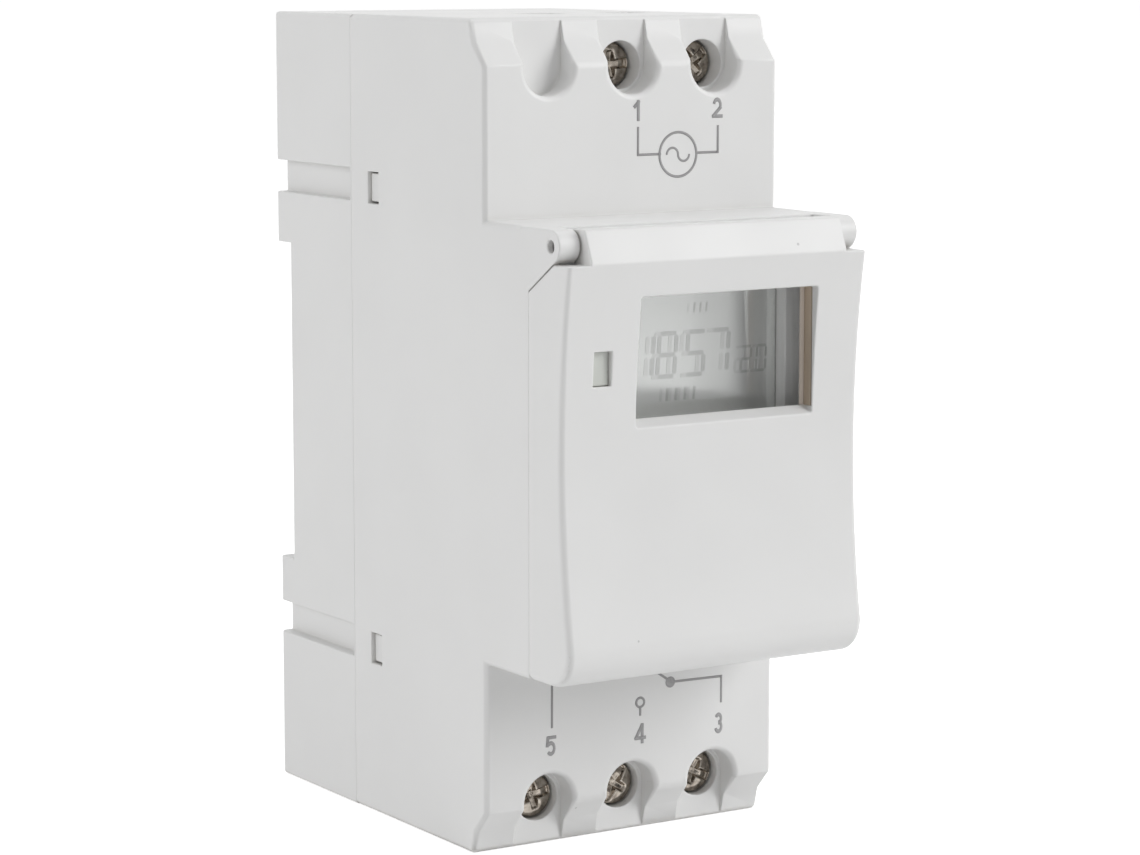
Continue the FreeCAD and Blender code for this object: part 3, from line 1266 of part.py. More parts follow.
def make_display_parts():
    left = "(lcd_middle - lcd_width / 2)"
    right = "(lcd_middle + lcd_width / 2)"
    low = "(lcd_height_middle - lcd_tall / 2)"
    high = "(lcd_height_middle + lcd_tall / 2)"
    lcd_rear = f"({LCD_FRONT} - lcd_thick)"
    glass = box_body("lcd_glass", left, low, right, high, lcd_rear, "lcd_thick")

    holder = new_body("lcd_holder")
    ring = front_sketch(holder, "ring", DISPLAY_FRONT)
    for grown in ("lcd_play", "(lcd_play + holder_wall)"):
        rectangle(
            ring, f"{left} - {grown}", f"{low} - {grown}", f"{right} + {grown}", f"{high} + {grown}"
        )
    pad(holder, ring, f"{LCD_FRONT} - {DISPLAY_FRONT}")

    strips = document.addObject("Part::Compound", "contact_strips")
    pieces = []
    for name, foot in (("lower", low), ("upper", f"({high} - strip_thick)")):
        strip = document.addObject("Part::Box", f"{name}_strip")
        strip.setExpression("Length", bound("lcd_width"))
        strip.setExpression("Width", bound(f"{lcd_rear} - {DISPLAY_FRONT}"))
        strip.setExpression("Height", bound("strip_thick"))
        strip.setExpression("Placement.Base.x", bound(left))
        strip.setExpression("Placement.Base.y", bound(f"depth / 2 - {lcd_rear}"))
        strip.setExpression("Placement.Base.z", bound(foot))
        pieces.append(strip)
    strips.Links = pieces

    board = new_body("display_board")
    face = front_sketch(board, "face", "display_board_depth")
    rectangle(
        face, "-display_board_half", "nose_bottom + wall + display_board_margin",
        "display_board_half", f"{NOSE_TOP} - wall - display_board_margin",
    )
    for name, across, up in BOARD_POSTS:
        circle(face, across, up, "board_screw_radius + board_hole_play")
    pad(board, face, "board_thick")
    return [glass, holder, strips, board]


def cylinder_at(name, across, up, forward, radius, length):
    """A round solid along Y, from a depth forward."""
    solid = document.addObject("Part::Cylinder", name)
    solid.setExpression("Radius", bound(radius))
    solid.setExpression("Height", bound(length))
    turn = FreeCAD.Rotation(FreeCAD.Vector(1, 0, 0), 90)
    solid.Placement = FreeCAD.Placement(FreeCAD.Vector(), turn)
    solid.setExpression("Placement.Base.x", bound(across))
    solid.setExpression("Placement.Base.y", bound(f"depth / 2 - ({forward})"))
    solid.setExpression("Placement.Base.z", bound(up))
    return solid


def block_at(name, across, up, rear, half, length):
    """A square block from a depth forward, its middle at this place."""
    solid = document.addObject("Part::Box", name)
    solid.setExpression("Length", bound(f"2 * {half}"))
    solid.setExpression("Width", bound(length))
    solid.setExpression("Height", bound(f"2 * {half}"))
    solid.setExpression("Placement.Base.x", bound(f"{across} - {half}"))
    solid.setExpression("Placement.Base.y", bound(f"depth / 2 - {rear} - {length}"))
    solid.setExpression("Placement.Base.z", bound(f"{up} - {half}"))
    return solid


def make_board_screws():
    """Two pan-head screws that hold the display board to its posts."""
    screws = []
    for name, across, up in BOARD_POSTS:
        head = cylinder_at(
            f"board_screw_head_{name}", across, up, "display_board_depth - board_screw_head",
            "board_screw_head_radius", "board_screw_head",
        )
        shank = cylinder_at(
            f"board_screw_shank_{name}", across, up, "display_board_depth",
            "board_screw_radius", "board_thick + board_screw_length - wall / 2",
        )
        screw = document.addObject("Part::Fuse", f"board_screw_{name}")
        screw.Base = head
        screw.Tool = shank
        screws.append(screw)
    group = document.addObject("Part::Compound", "display_board_screws")
    group.Links = screws
    return group


def make_key_switches():
    """Seven key switches in one group: a square body with a bore for its plunger."""
    switches = []
    for label, across, row, shape in KEYS:
        body = block_at(
            f"{label}_switch_body", across, row, DISPLAY_FRONT, "switch_side / 2", "switch_height"
        )
        bore = block_at(
            f"{label}_switch_bore", across, row, f"({SWITCH_FRONT} - plunger_bore)",
            "(plunger_half + plunger_play)", f"(plunger_bore + {OVERCUT})",
        )
        switch = document.addObject("Part::Cut", f"{label}_switch")
        switch.Base = body
        switch.Tool = bore
        switches.append(switch)
    group = document.addObject("Part::Compound", "key_switches")
    group.Links = switches
    return group


def make_key(label, across, row, shape):
    """A key: its cap, a square flange behind the panel, and the plunger of its switch."""
    body = new_body(label)
    flange = front_sketch(body, "flange", f"{FLANGE_FRONT} - key_flange_thick")
    size = "reset_radius" if shape == "small" else "key_radius"
    reach = "key_long_half" if shape == "long" else "0"
    rectangle(
        flange, f"{across} - {size} - {reach} - key_flange", f"{row} - {size} - key_flange",
        f"{across} + {size} + {reach} + key_flange", f"{row} + {size} + key_flange",
    )
    pad(body, flange, "key_flange_thick")
    top = front_sketch(body, "top", f"{FLANGE_FRONT} - key_flange_thick / 2")
    key_outline(top, across, row, shape, "0")
    proud = "-reset_sunk" if shape == "small" else "key_proud"
    face = f"panel_depth + ({proud})"
    pad(body, top, f"{face} - {FLANGE_FRONT} + key_flange_thick / 2")
    bevel_edges(body, "key_crown", lambda edge: lies_at_depth(edge, face))
    plunger_rear = f"({SWITCH_FRONT} - plunger_sunk)"
    plunger = front_sketch(body, "plunger", plunger_rear)
    rectangle(
        plunger, f"{across} - plunger_half", f"{row} - plunger_half",
        f"{across} + plunger_half", f"{row} + plunger_half",
    )
    pad(body, plunger, f"{FLANGE_FRONT} - key_flange_thick / 2 - {plunger_rear}")
    return body


def make_status_led():
    body = new_body("status_led")
    collar = front_sketch(body, "collar", DISPLAY_FRONT)
    rectangle(
        collar, "led_across - led_collar_half", "led_height - led_collar_half",
        "led_across + led_collar_half", "led_height + led_collar_half",
    )
    pad(body, collar, "led_collar")
    lens = front_sketch(body, "lens", DISPLAY_FRONT)
    circle(lens, "led_across", "led_height", "led_radius")
    pad(body, lens, f"led_tip_depth - {DISPLAY_FRONT}")
    bevel_edges(body, "led_radius * 0.5", lambda edge: lies_at_depth(edge, "led_tip_depth"))
    return body


def make_board_parts():
    """What is soldered to the two boards."""
    chip = box_body(
        "controller_chip", "chip_left", "chip_foot", "chip_left + chip_side",
        "chip_foot + chip_side", "display_board_depth - chip_height", "chip_height",
    )
    crystal = new_body("clock_crystal")
    end = plan_sketch(crystal, "end", "crystal_foot + crystal_length")
    circle(end, "crystal_across", "display_board_depth - crystal_radius", "crystal_radius")
    pad(crystal, end, "crystal_length")

    battery = new_body("backup_battery")
    rim_rear = "(display_board_depth - tab_thick - battery_thick)"
    can = front_sketch(battery, "can", f"{rim_rear} + battery_step")
    circle(can, "battery_across", "battery_height", "battery_radius")
    pad(battery, can, "battery_thick - battery_step")
    cap = front_sketch(battery, "cap", rim_rear)
    circle(cap, "battery_across", "battery_height", "battery_radius - battery_step")
    pad(battery, cap, "battery_thick / 2")
    tab = front_sketch(battery, "tab", "display_board_depth - tab_thick")
    rectangle(
        tab, "battery_across - battery_radius - tab_half", "battery_height - tab_half",
        "battery_across + battery_radius + tab_half", "battery_height + tab_half",
    )
    pad(battery, tab, "tab_thick")

    board = new_body("power_board")
    face = front_sketch(board, "face", "power_board_depth")
    rectangle(
        face, "-power_board_half", "power_board_inset",
        "power_board_half", from_top("power_board_inset"),
    )
    pad(board, face, "board_thick")

    relay = box_body(
        "mains_relay", "relay_left", "relay_foot", "relay_left + relay_width",
        "relay_foot + relay_tall", "power_board_depth - relay_height", "relay_height",
    )
    capacitor = box_body(
        "filter_capacitor", "filter_left", "filter_foot", "filter_left + filter_width",
        "filter_foot + filter_tall", "power_board_depth - filter_height", "filter_height",
    )
    rectifier = box_body(
        "bridge_rectifier", "rectifier_left", "rectifier_foot",
        "rectifier_left + rectifier_width", "rectifier_foot + rectifier_tall",
        "power_board_depth - rectifier_height", "rectifier_height",
    )
    cans = [make_can(name) for name in ("smoothing", "ripple")]
    return [
        chip, crystal, battery, board, relay, capacitor, rectifier, *cans,
        make_varistor(), make_resistor(), make_header(),
    ]


def make_can(name):
    """An upright electrolytic capacitor."""
    body = new_body(f"{name}_capacitor")
    rear = f"power_board_depth - {name}_length"
    end = front_sketch(body, "end", rear)
    circle(end, f"{name}_across", f"{name}_height", f"{name}_radius")
    pad(body, end, f"{name}_length")
    return body


def make_varistor():
    body = new_body("varistor")
    disc = side_sketch(body, "disc", "varistor_left + varistor_thick")
    circle(disc, "power_board_depth - varistor_stand", "varistor_height", "varistor_radius")
    pad(body, disc, "varistor_thick")
    leads = front_sketch(body, "leads", "power_board_depth - varistor_stand")
    middle = "(varistor_left + varistor_thick / 2)"
    for offset in ("-lead_half", "lead_half"):
        rectangle(
            leads, f"{middle} - lead_radius", f"varistor_height + {offset} - lead_radius",
            f"{middle} + lead_radius", f"varistor_height + {offset} + lead_radius",
        )
    pad(body, leads, "varistor_stand")
    return body


def make_resistor():
    """An axial resistor with its leads bent down to the board."""
    body = new_body("fusible_resistor")
    axis_depth = "(power_board_depth - resistor_stand)"
    barrel = side_sketch(body, "barrel", "resistor_middle + resistor_length / 2")
    circle(barrel, axis_depth, "resistor_height", "resistor_radius")
    pad(body, barrel, "resistor_length")
    lead_span = "(resistor_length / 2 + resistor_lead)"
    lead = front_sketch(body, "lead", f"{axis_depth} - lead_radius")
    rectangle(
        lead, f"resistor_middle - {lead_span}", "resistor_height - lead_radius",
        f"resistor_middle + {lead_span}", "resistor_height + lead_radius",
    )
    pad(body, lead, "2 * lead_radius")
    legs = front_sketch(body, "legs", f"{axis_depth} - lead_radius")
    left_end = f"resistor_middle - {lead_span}"
    right_end = f"resistor_middle + {lead_span}"
    for left, right in (
        (left_end, f"{left_end} + 2 * lead_radius"), (f"{right_end} - 2 * lead_radius", right_end)
    ):
        rectangle(
            legs, left, "resistor_height - lead_radius", right, "resistor_height + lead_radius"
        )
    pad(body, legs, "resistor_stand + lead_radius")
    return body


def make_header():
    """The pin header that joins the two boards, its pins moulded into two blocks."""
    body = new_body("board_header")
    half = "((header_pins * header_pitch) / 2)"
    for name, rear in (
        ("rear_block", POWER_FRONT), ("front_block", "(display_board_depth - header_block)")
    ):
        block = front_sketch(body, name, rear)
        rectangle(
            block, f"-{half}", "header_height - header_block / 2",
            half, "header_height + header_block / 2",
        )
        if name == "rear_block":
            pad(body, block, "header_block")
            pins = front_sketch(body, "pins", POWER_FRONT)
            for number in range(int(value("header_pins"))):
                middle = f"(({number} + 0.5) * header_pitch - {half})"
                rectangle(
                    pins, f"{middle} - header_pin_half", "header_height - header_pin_half",
                    f"{middle} + header_pin_half", "header_height + header_pin_half",
                )
            pad(body, pins, f"display_board_depth - {POWER_FRONT}")
        else:
            pad(body, block, "header_block")
    return body


def make_terminal_screw(number, top, across):
    """A clamp screw with a combined slot and cross recess in its head."""
    body = new_body(f"terminal_screw_{number}")
    up = at_end(top, "screw_inset")
    face = "screw_face_depth" if top else "(screw_face_depth + lower_screw_proud)"
    head = front_sketch(body, "head", f"{face} - screw_head")
    circle(head, across, up, "screw_head_radius")
    pad(body, head, "screw_head")
    shank = front_sketch(body, "shank", BAR_FRONT)
    circle(shank, across, up, "screw_radius")
    pad(body, shank, f"{face} - screw_head / 2 - {BAR_FRONT}")
    slot = front_sketch(body, "slot", f"{face} + {OVERCUT}")
    rectangle(
        slot, f"{across} - screw_head_radius - 1", f"{up} - screw_slot / 2",
        f"{across} + screw_head_radius + 1", f"{up} + screw_slot / 2",
    )
    pocket(body, slot, f"screw_slot_sunk + {OVERCUT}")
    cross = front_sketch(body, "cross", f"{face} + {OVERCUT}")
    rectangle(
        cross, f"{across} - screw_slot / 2", f"{up} - screw_cross_reach",
        f"{across} + screw_slot / 2", f"{up} + screw_cross_reach",
    )
    pocket(body, cross, f"screw_slot_sunk * 1.5 + {OVERCUT}")
    return body


def make_terminal_cage(number, top, across):
    """The rising clamp: a steel frame round the bar, threaded for the screw at its front."""
    body = new_body(f"terminal_cage_{number}")
    up_middle = at_end(top, "screw_inset")
    foot_front = "(bar_depth - wire_room)"
    thread_rear = f"({BAR_FRONT} + cage_gap)"
    frame = plan_sketch(body, "frame", f"{up_middle} + cage_length / 2")
    rectangle(
        frame, f"{across} - cage_half", f"{foot_front} - cage_foot_wall",
        f"{across} + cage_half", f"{thread_rear} + cage_thread_wall",
    )
    rectangle(
        frame, f"{across} - cage_half + cage_side", foot_front,
        f"{across} + cage_half - cage_side", thread_rear,
    )
    pad(body, frame, "cage_length")
    hole = front_sketch(body, "thread", f"{thread_rear} + cage_thread_wall + {OVERCUT}")
    circle(hole, across, up_middle, "screw_radius + thread_play")
    pocket(body, hole, f"cage_thread_wall + {OVERCUT} + cage_gap / 2")
    return body


def make_contact_bar(number, top, across):
    """A bent brass bar: flat under the screw, with a leg down to the power board."""
    body = new_body(f"contact_bar_{number}")
    profile = side_sketch(body, "profile", f"{across} + bar_width / 2")
    end = at_end(top, "bar_inset")
    leg = at_end(top, "bar_leg_inset")
    inner = at_end(top, "(bar_leg_inset + bar_thick)")
    outline(profile, [
        ("bar_depth", end),
        (BAR_FRONT, end),
        (BAR_FRONT, inner),
        (POWER_FRONT, inner),
        (POWER_FRONT, leg),
        ("bar_depth", leg),
    ])
    pad(body, profile, "bar_width")
    return body


def make_all():
    nodes = [
        make_rear_base(), make_front_housing(), make_flap_cover(), make_pane(),
        make_light_guide(), make_hinge_pin(), make_rail_latch(), make_latch_spring(),
    ]
    nodes += make_display_parts()
    nodes += [make_board_screws(), make_key_switches(), make_status_led()]
    nodes += [make_key(*key) for key in KEYS]
    nodes += make_board_parts()
    for maker in (make_terminal_screw, make_terminal_cage, make_contact_bar):
        nodes += [maker(*terminal) for terminal in TERMINALS]
    return nodes


def check_and_export(nodes):
    """Stop on any failed feature or shape, then write one file for each sub-part."""
    document.recompute()
    for item in document.Objects:
        if "Invalid" in item.State or "Error" in item.State:
            raise RuntimeError(f"{item.Name} failed: {item.State}")
    for node in nodes:
        if node.Shape.isNull() or not node.Shape.isValid():
            raise RuntimeError(f"{node.Label} has no valid shape")
    os.makedirs("parts", exist_ok=True)
    for node in nodes:
        solids = len(node.Shape.Solids)
        print(f"{node.Label}: {solids} solid(s), {node.Shape.Volume:.1f} mm3")
        node.Shape.exportStep(f"parts/{node.Label}.step")


fill_sheet()
check_and_export(make_all())
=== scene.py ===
# %% [markdown]
# A digital timer switch for a 35 mm mounting rail: a white plastic case, two modules
# wide, with a hinged flap over its display and keys, and five screw terminals.
# The shapes come from the CAD frame. This lesson gives them soft edges, finishes,
# printing and the small things that make moulded plastic and metal look real.

# %% Load the frame
import json
import math

import bmesh
import bpy
from mathutils import Matrix, Vector


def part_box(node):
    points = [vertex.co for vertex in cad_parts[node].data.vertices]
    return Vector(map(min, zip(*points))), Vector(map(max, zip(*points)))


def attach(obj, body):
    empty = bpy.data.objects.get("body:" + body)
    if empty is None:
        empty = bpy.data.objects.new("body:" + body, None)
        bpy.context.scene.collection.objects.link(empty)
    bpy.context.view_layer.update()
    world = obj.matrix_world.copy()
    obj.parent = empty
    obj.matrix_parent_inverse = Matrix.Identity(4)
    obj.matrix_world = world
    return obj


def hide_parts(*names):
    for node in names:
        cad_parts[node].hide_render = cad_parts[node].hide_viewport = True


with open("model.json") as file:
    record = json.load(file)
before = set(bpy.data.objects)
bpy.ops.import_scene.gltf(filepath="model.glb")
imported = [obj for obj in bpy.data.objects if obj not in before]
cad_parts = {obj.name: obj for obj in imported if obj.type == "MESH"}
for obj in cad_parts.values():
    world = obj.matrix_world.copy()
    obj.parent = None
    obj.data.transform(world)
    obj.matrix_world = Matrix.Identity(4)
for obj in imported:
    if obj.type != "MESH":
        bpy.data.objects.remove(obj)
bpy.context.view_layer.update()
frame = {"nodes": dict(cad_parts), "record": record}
NODES = frame["nodes"]
RECORD = frame["record"]
MM = 0.001
REAR = 30.5

# %% [markdown]
# Places on the case are easiest to say as a maker measures them: how far to the right of
# the middle, how far forward of the rear plane and how high above the lower end, all in
# millimetres. One helper turns that into a point of the scene.

# %% Places in millimetres
def spot(across, forward, height):
    return Vector((across * MM, (REAR - forward) * MM, height * MM))


BODY_OF = {
    node: body
    for body, nodes in RECORD["behaviour"]["bodies"].items()
    for node in nodes
}
SLOT_OF = {part["node"]: part["material_slot"] for part in RECORD["subparts"]}
print("bodies:", len(set(BODY_OF.values())), "slots:", len(set(SLOT_OF.values())))

# %% [markdown]
# The photograph was taken with a long lens from the front left, a little above the
# middle. The camera's place and lens were solved from corners of the case whose real
# places are known, so the picture and the model line up.

# %% Camera
CAMERA_PLACE = (-0.1949, -0.3106, 0.0932)
CAMERA_YAW = math.radians(32.29)
CAMERA_PITCH = math.radians(7.97)
CAMERA_LENS = 108.76

camera = bpy.data.objects.new("camera", bpy.data.cameras.new("camera"))
camera.data.sensor_width = 36.0
camera.data.lens = CAMERA_LENS
camera.data.clip_start = 0.01
camera.data.clip_end = 60.0
camera.location = CAMERA_PLACE
camera.rotation_euler = (math.pi / 2 - CAMERA_PITCH, 0.0, -CAMERA_YAW)
bpy.context.scene.collection.objects.link(camera)
bpy.context.scene.camera = camera
print("camera at", tuple(camera.location), "lens", camera.data.lens)

# %% [markdown]
# Product photographs of white goods use large soft lamps and a white sweep. Here an even
# world gives a third of the light. A big lamp at the right leaves the right-hand walls
# of the wells in shade, one at the rear left lights the side, and one above the top. The
# world is plain white where the camera or a mirror sees it, and dimmer for its light.

# %% World and lamps
AMBIENT = 0.35
LAMP_SIZE = 0.7
TIMER_MIDDLE = Vector((0.0, 0.0, 0.043))


def add_node(tree, kind, **settings):
    node = tree.nodes.new(kind)
    for name, setting in settings.items():
        setattr(node, name, setting)
    return node


def join(tree, source, target):
    """Link a socket to a socket, or set the target to a plain number or colour."""
    if isinstance(source, bpy.types.NodeSocket):
        tree.links.new(source, target)
    else:
        target.default_value = source


def calc(tree, operation, first, second=0.0, clamp=False):
    node = add_node(tree, "ShaderNodeMath", operation=operation, use_clamp=clamp)
    join(tree, first, node.inputs[0])
    join(tree, second, node.inputs[1])
    return node.outputs[0]


def seen_directly(tree):
    """1 on rays from the camera, a mirror or through glass, and 0 on the rest."""
    path = add_node(tree, "ShaderNodeLightPath")
    direct = calc(tree, "MAXIMUM", path.outputs["Is Camera Ray"], path.outputs["Is Glossy Ray"])
    return calc(tree, "MAXIMUM", direct, path.outputs["Is Transmission Ray"])


world = bpy.data.worlds.new("white studio")
world.use_nodes = True
bpy.context.scene.world = world
sky = world.node_tree
backdrop = sky.nodes["Background"]
backdrop.inputs["Color"].default_value = (1.0, 1.0, 1.0, 1.0)
span = calc(sky, "MULTIPLY", seen_directly(sky), 1.0 - AMBIENT)
join(sky, calc(sky, "ADD", span, AMBIENT), backdrop.inputs["Strength"])


def lamp(name, place, power):
    """A square soft lamp that points at the middle of the timer; place in m, power in W."""
    data = bpy.data.lights.new(name, "AREA")
    data.shape = "SQUARE"
    data.size = LAMP_SIZE
    data.energy = power
    light = bpy.data.objects.new(name, data)
    light.location = place
    aim = TIMER_MIDDLE - Vector(place)
    light.rotation_euler = aim.to_track_quat("-Z", "Y").to_euler()
    bpy.context.scene.collection.objects.link(light)
    return light


lamp("key lamp", (0.85, -0.76, 0.56), 9.4)
lamp("side lamp", (-1.0, 0.30, 0.35), 3.7)
lamp("top lamp", (0.0, 0.15, 1.2), 3.0)
bpy.context.scene.view_settings.view_transform = "Standard"
print("lamps:", [light.name for light in bpy.data.lights])

# %% [markdown]
# The timer stands on a plain pale floor. It scatters light as a real one does and keeps
# the soft shadow. For the camera it also glows a little, so that it runs into the white
# background with no line where it ends.

# %% Floor
FLOOR_SIZE = 16.0
FLOOR_DROP = 0.00005
FLOOR_GLOW = 0.70


def new_material(name):
    material = bpy.data.materials.new(name)
    material.use_nodes = True
    return material, material.node_tree, material.node_tree.nodes["Principled BSDF"]


def spread(tree, value, low, high, start=0.3, end=0.7):
    """Map a value from start..end to low..high."""
    node = add_node(tree, "ShaderNodeMapRange")
    join(tree, value, node.inputs["Value"])
    for socket, setting in (("From Min", start), ("From Max", end), ("To Min", low), ("To Max", high)):
        join(tree, setting, node.inputs[socket])
    return node.outputs["Result"]


floor_material, floor_tree, floor_shader = new_material("pale floor")
floor_shader.inputs["Base Color"].default_value = (0.82, 0.82, 0.82, 1.0)
floor_shader.inputs["Roughness"].default_value = 0.9
floor_shader.inputs["Specular IOR Level"].default_value = 0.1
floor_shader.inputs["Emission Color"].default_value = (1.0, 1.0, 1.0, 1.0)
glow = calc(floor_tree, "MULTIPLY", seen_directly(floor_tree), FLOOR_GLOW)
join(floor_tree, glow, floor_shader.inputs["Emission Strength"])

floor_mesh = bmesh.new()
bmesh.ops.create_grid(floor_mesh, x_segments=1, y_segments=1, size=FLOOR_SIZE / 2)
bmesh.ops.translate(floor_mesh, verts=floor_mesh.verts, vec=(0.0, 0.0, -FLOOR_DROP))
floor_data = bpy.data.meshes.new("floor")
floor_mesh.to_mesh(floor_data)
floor_mesh.free()
floor = bpy.data.objects.new("floor", floor_data)
floor.data.materials.append(floor_material)
bpy.context.scene.collection.objects.link(floor)
print("floor:", FLOOR_SIZE, "m")

# %% [markdown]
# A half-mirror display shows whatever stands opposite, so photographers set up cards with
# care. Here one card fades from white to black along its length and is grey at its foot.
# It could be lit by the lamps, but it shines by itself, so its tones are exact. Only
# mirror rays see it: rays that have left a matt surface pass through it, so it takes no
# light from the case.

# %% Card for the mirrors
CARD_EDGE = Vector((0.0936, -0.1488))
CARD_ALONG = Vector((0.80, 0.60))
CARD_REACH = (-0.25, 0.40)
CARD_TALL = 0.30
CARD_FOOT = 0.0278
FOOT_FADE = 0.006
FOOT_END = 0.0015
FOOT_TONES = (0.10, 0.32)
CARD_TONES = [
    (-0.012, 0.92), (-0.0055, 0.85), (-0.0046, 0.72), (-0.0002, 0.61), (0.0007, 0.445),
    (0.0016, 0.23), (0.002, 0.13), (0.0025, 0.10), (0.0029, 0.0),
]

card_material, card_tree, card_shader = new_material("mirror card")
card_place = add_node(card_tree, "ShaderNodeTexCoord").outputs["Object"]
card_run = add_node(card_tree, "ShaderNodeVectorMath", operation="DOT_PRODUCT")
join(card_tree, card_place, card_run.inputs[0])
card_run.inputs[1].default_value = (*CARD_ALONG, 0.0)
card_ramp = add_node(card_tree, "ShaderNodeValToRGB")
first, last = CARD_TONES[0][0], CARD_TONES[-1][0]
zero = CARD_EDGE.dot(CARD_ALONG)
run = spread(card_tree, card_run.outputs["Value"], 0.0, 1.0, start=zero + first, end=zero + last)
join(card_tree, run, card_ramp.inputs["Fac"])
stops = card_ramp.color_ramp.elements
for number, (place, tone) in enumerate(CARD_TONES):
    ending = number in (0, len(CARD_TONES) - 1)
    stop = stops[-1 if number else 0] if ending else stops.new((place - first) / (last - first))
    stop.color = (tone, tone, tone, 1.0)
card_axes = add_node(card_tree, "ShaderNodeSeparateXYZ")
join(card_tree, card_place, card_axes.inputs["Vector"])
card_rise = card_axes.outputs["Z"]
foot = spread(card_tree, card_rise, *FOOT_TONES, start=CARD_FOOT - FOOT_FADE, end=CARD_FOOT)
above = spread(card_tree, card_rise, 0.0, 1.0, start=CARD_FOOT, end=CARD_FOOT + FOOT_END)
lowest = calc(card_tree, "MAXIMUM", foot, above)
card_tone = calc(card_tree, "MINIMUM", card_ramp.outputs["Color"], lowest)
card_shader.inputs["Base Color"].default_value = (0.0, 0.0, 0.0, 1.0)
card_shader.inputs["Specular IOR Level"].default_value = 0.0
card_shader.inputs["Emission Color"].default_value = (1.0, 1.0, 1.0, 1.0)
join(card_tree, card_tone, card_shader.inputs["Emission Strength"])
card_path = add_node(card_tree, "ShaderNodeLightPath")
still_sharp = calc(card_tree, "LESS_THAN", card_path.outputs["Diffuse Depth"], 0.5)
join(card_tree, still_sharp, card_shader.inputs["Alpha"])

card_mesh = bmesh.new()
ends = [CARD_EDGE + reach * CARD_ALONG for reach in CARD_REACH]
foot_edge = card_mesh.edges.new([card_mesh.verts.new((*end, 0.0)) for end in ends])
raised = bmesh.ops.extrude_edge_only(card_mesh, edges=[foot_edge])["geom"]
top = [part for part in raised if isinstance(part, bmesh.types.BMVert)]
bmesh.ops.translate(card_mesh, verts=top, vec=(0.0, 0.0, CARD_TALL))
card_data = bpy.data.meshes.new("mirror_card")
card_mesh.to_mesh(card_data)
card_mesh.free()
card = bpy.data.objects.new("mirror_card", card_data)
card.data.materials.append(card_material)
card.visible_camera = False
card.visible_diffuse = False
card.visible_shadow = False
bpy.context.scene.collection.objects.link(card)
print("card with", len(CARD_TONES), "tones")

# %% [markdown]
# Effects that several finishes share are made once, as node groups. A moulded skin is
# the fine spark-eroded grain of the tool, a slow waviness of the wall and a gloss that
# varies a little. It could be painted in an image, but noise in the object's own
# coordinates needs no unwrapping and stays the same size on every piece.


# %% Group: moulded skin
NUMBER = "NodeSocketFloat"


def new_group(name, inputs, outputs):
    """A shader node group with named number inputs and named outputs."""
    tree = bpy.data.node_groups.new(name, "ShaderNodeTree")
    for title, default in inputs:
        socket = tree.interface.new_socket(name=title, in_out="INPUT", socket_type=NUMBER)
        socket.default_value = default
    for title, kind in outputs:
        tree.interface.new_socket(name=title, in_out="OUTPUT", socket_type=kind)
    return tree, add_node(tree, "NodeGroupInput"), add_node(tree, "NodeGroupOutput")


def noise(tree, scale, detail=2.0, vector=None):
    """Noise in object coordinates, or along a given vector; the value lies round 0.5."""
    node = add_node(tree, "ShaderNodeTexNoise")
    if vector is None:
        vector = add_node(tree, "ShaderNodeTexCoord").outputs["Object"]
    join(tree, vector, node.inputs["Vector"])
    join(tree, scale, node.inputs["Scale"])
    node.inputs["Detail"].default_value = detail
    return node.outputs["Fac"]


skin, skin_in, skin_out = new_group(
    "Moulded skin",
    [("Grain Size", 0.25), ("Wave Size", 14.0), ("Tone Spread", 0.02),
     ("Gloss Low", 0.36), ("Gloss High", 0.46)],
    [("Tone", NUMBER), ("Roughness", NUMBER), ("Height", NUMBER)],
)
grain = noise(skin, calc(skin, "DIVIDE", 1000.0, skin_in.outputs["Grain Size"]), detail=3.0)
wave = noise(skin, calc(skin, "DIVIDE", 1000.0, skin_in.outputs["Wave Size"]), detail=1.0)
patch = noise(skin, calc(skin, "DIVIDE", 2600.0, skin_in.outputs["Wave Size"]), detail=2.0)
tone_low = calc(skin, "SUBTRACT", 1.0, skin_in.outputs["Tone Spread"])
join(skin, spread(skin, wave, tone_low, 1.0), skin_out.inputs["Tone"])
rough = spread(skin, patch, skin_in.outputs["Gloss Low"], skin_in.outputs["Gloss High"])
join(skin, rough, skin_out.inputs["Roughness"])
height = calc(skin, "ADD", calc(skin, "MULTIPLY", wave, 1.6), calc(skin, "MULTIPLY", grain, 0.45))
join(skin, height, skin_out.inputs["Height"])
print("group:", skin.name)

# %% [markdown]
# Corners of a used case are rubbed a little lighter, and the same lightening is a painted
# highlight along each outer edge. Creases are darkened as painted shade, and a moulded
# corner is never a perfect knife edge. The Bevel node looks round each corner: where its
# normal leaves the flat one, there is an edge. The Ambient Occlusion node tells an outer
# edge from a crease. So one group gives wear with a painted highlight, painted crease
# shade and a soft normal.

# %% Group: edge wear, painted highlight and crease shade
edge_light_and_shade, edge_light_and_shade_in, edge_light_and_shade_out = new_group(
    "Edge wear, highlight and crease shade",
    [("Width", 0.25), ("Crease Reach", 1.0)],
    [("Edge", NUMBER), ("Crease", NUMBER), ("Normal", "NodeSocketVector")],
)
soft = add_node(edge_light_and_shade, "ShaderNodeBevel", samples=8)
join(edge_light_and_shade, calc(edge_light_and_shade, "MULTIPLY", edge_light_and_shade_in.outputs["Width"], MM), soft.inputs["Radius"])
plain = add_node(edge_light_and_shade, "ShaderNodeNewGeometry")
turn = add_node(edge_light_and_shade, "ShaderNodeVectorMath", operation="DOT_PRODUCT")
join(edge_light_and_shade, soft.outputs["Normal"], turn.inputs[0])
join(edge_light_and_shade, plain.outputs["Normal"], turn.inputs[1])
shelter = add_node(edge_light_and_shade, "ShaderNodeAmbientOcclusion", samples=6)
join(edge_light_and_shade, calc(edge_light_and_shade, "MULTIPLY", edge_light_and_shade_in.outputs["Crease Reach"], MM), shelter.inputs["Distance"])
open_air = shelter.outputs["AO"]
scuff = noise(edge_light_and_shade, 900.0, detail=3.0)
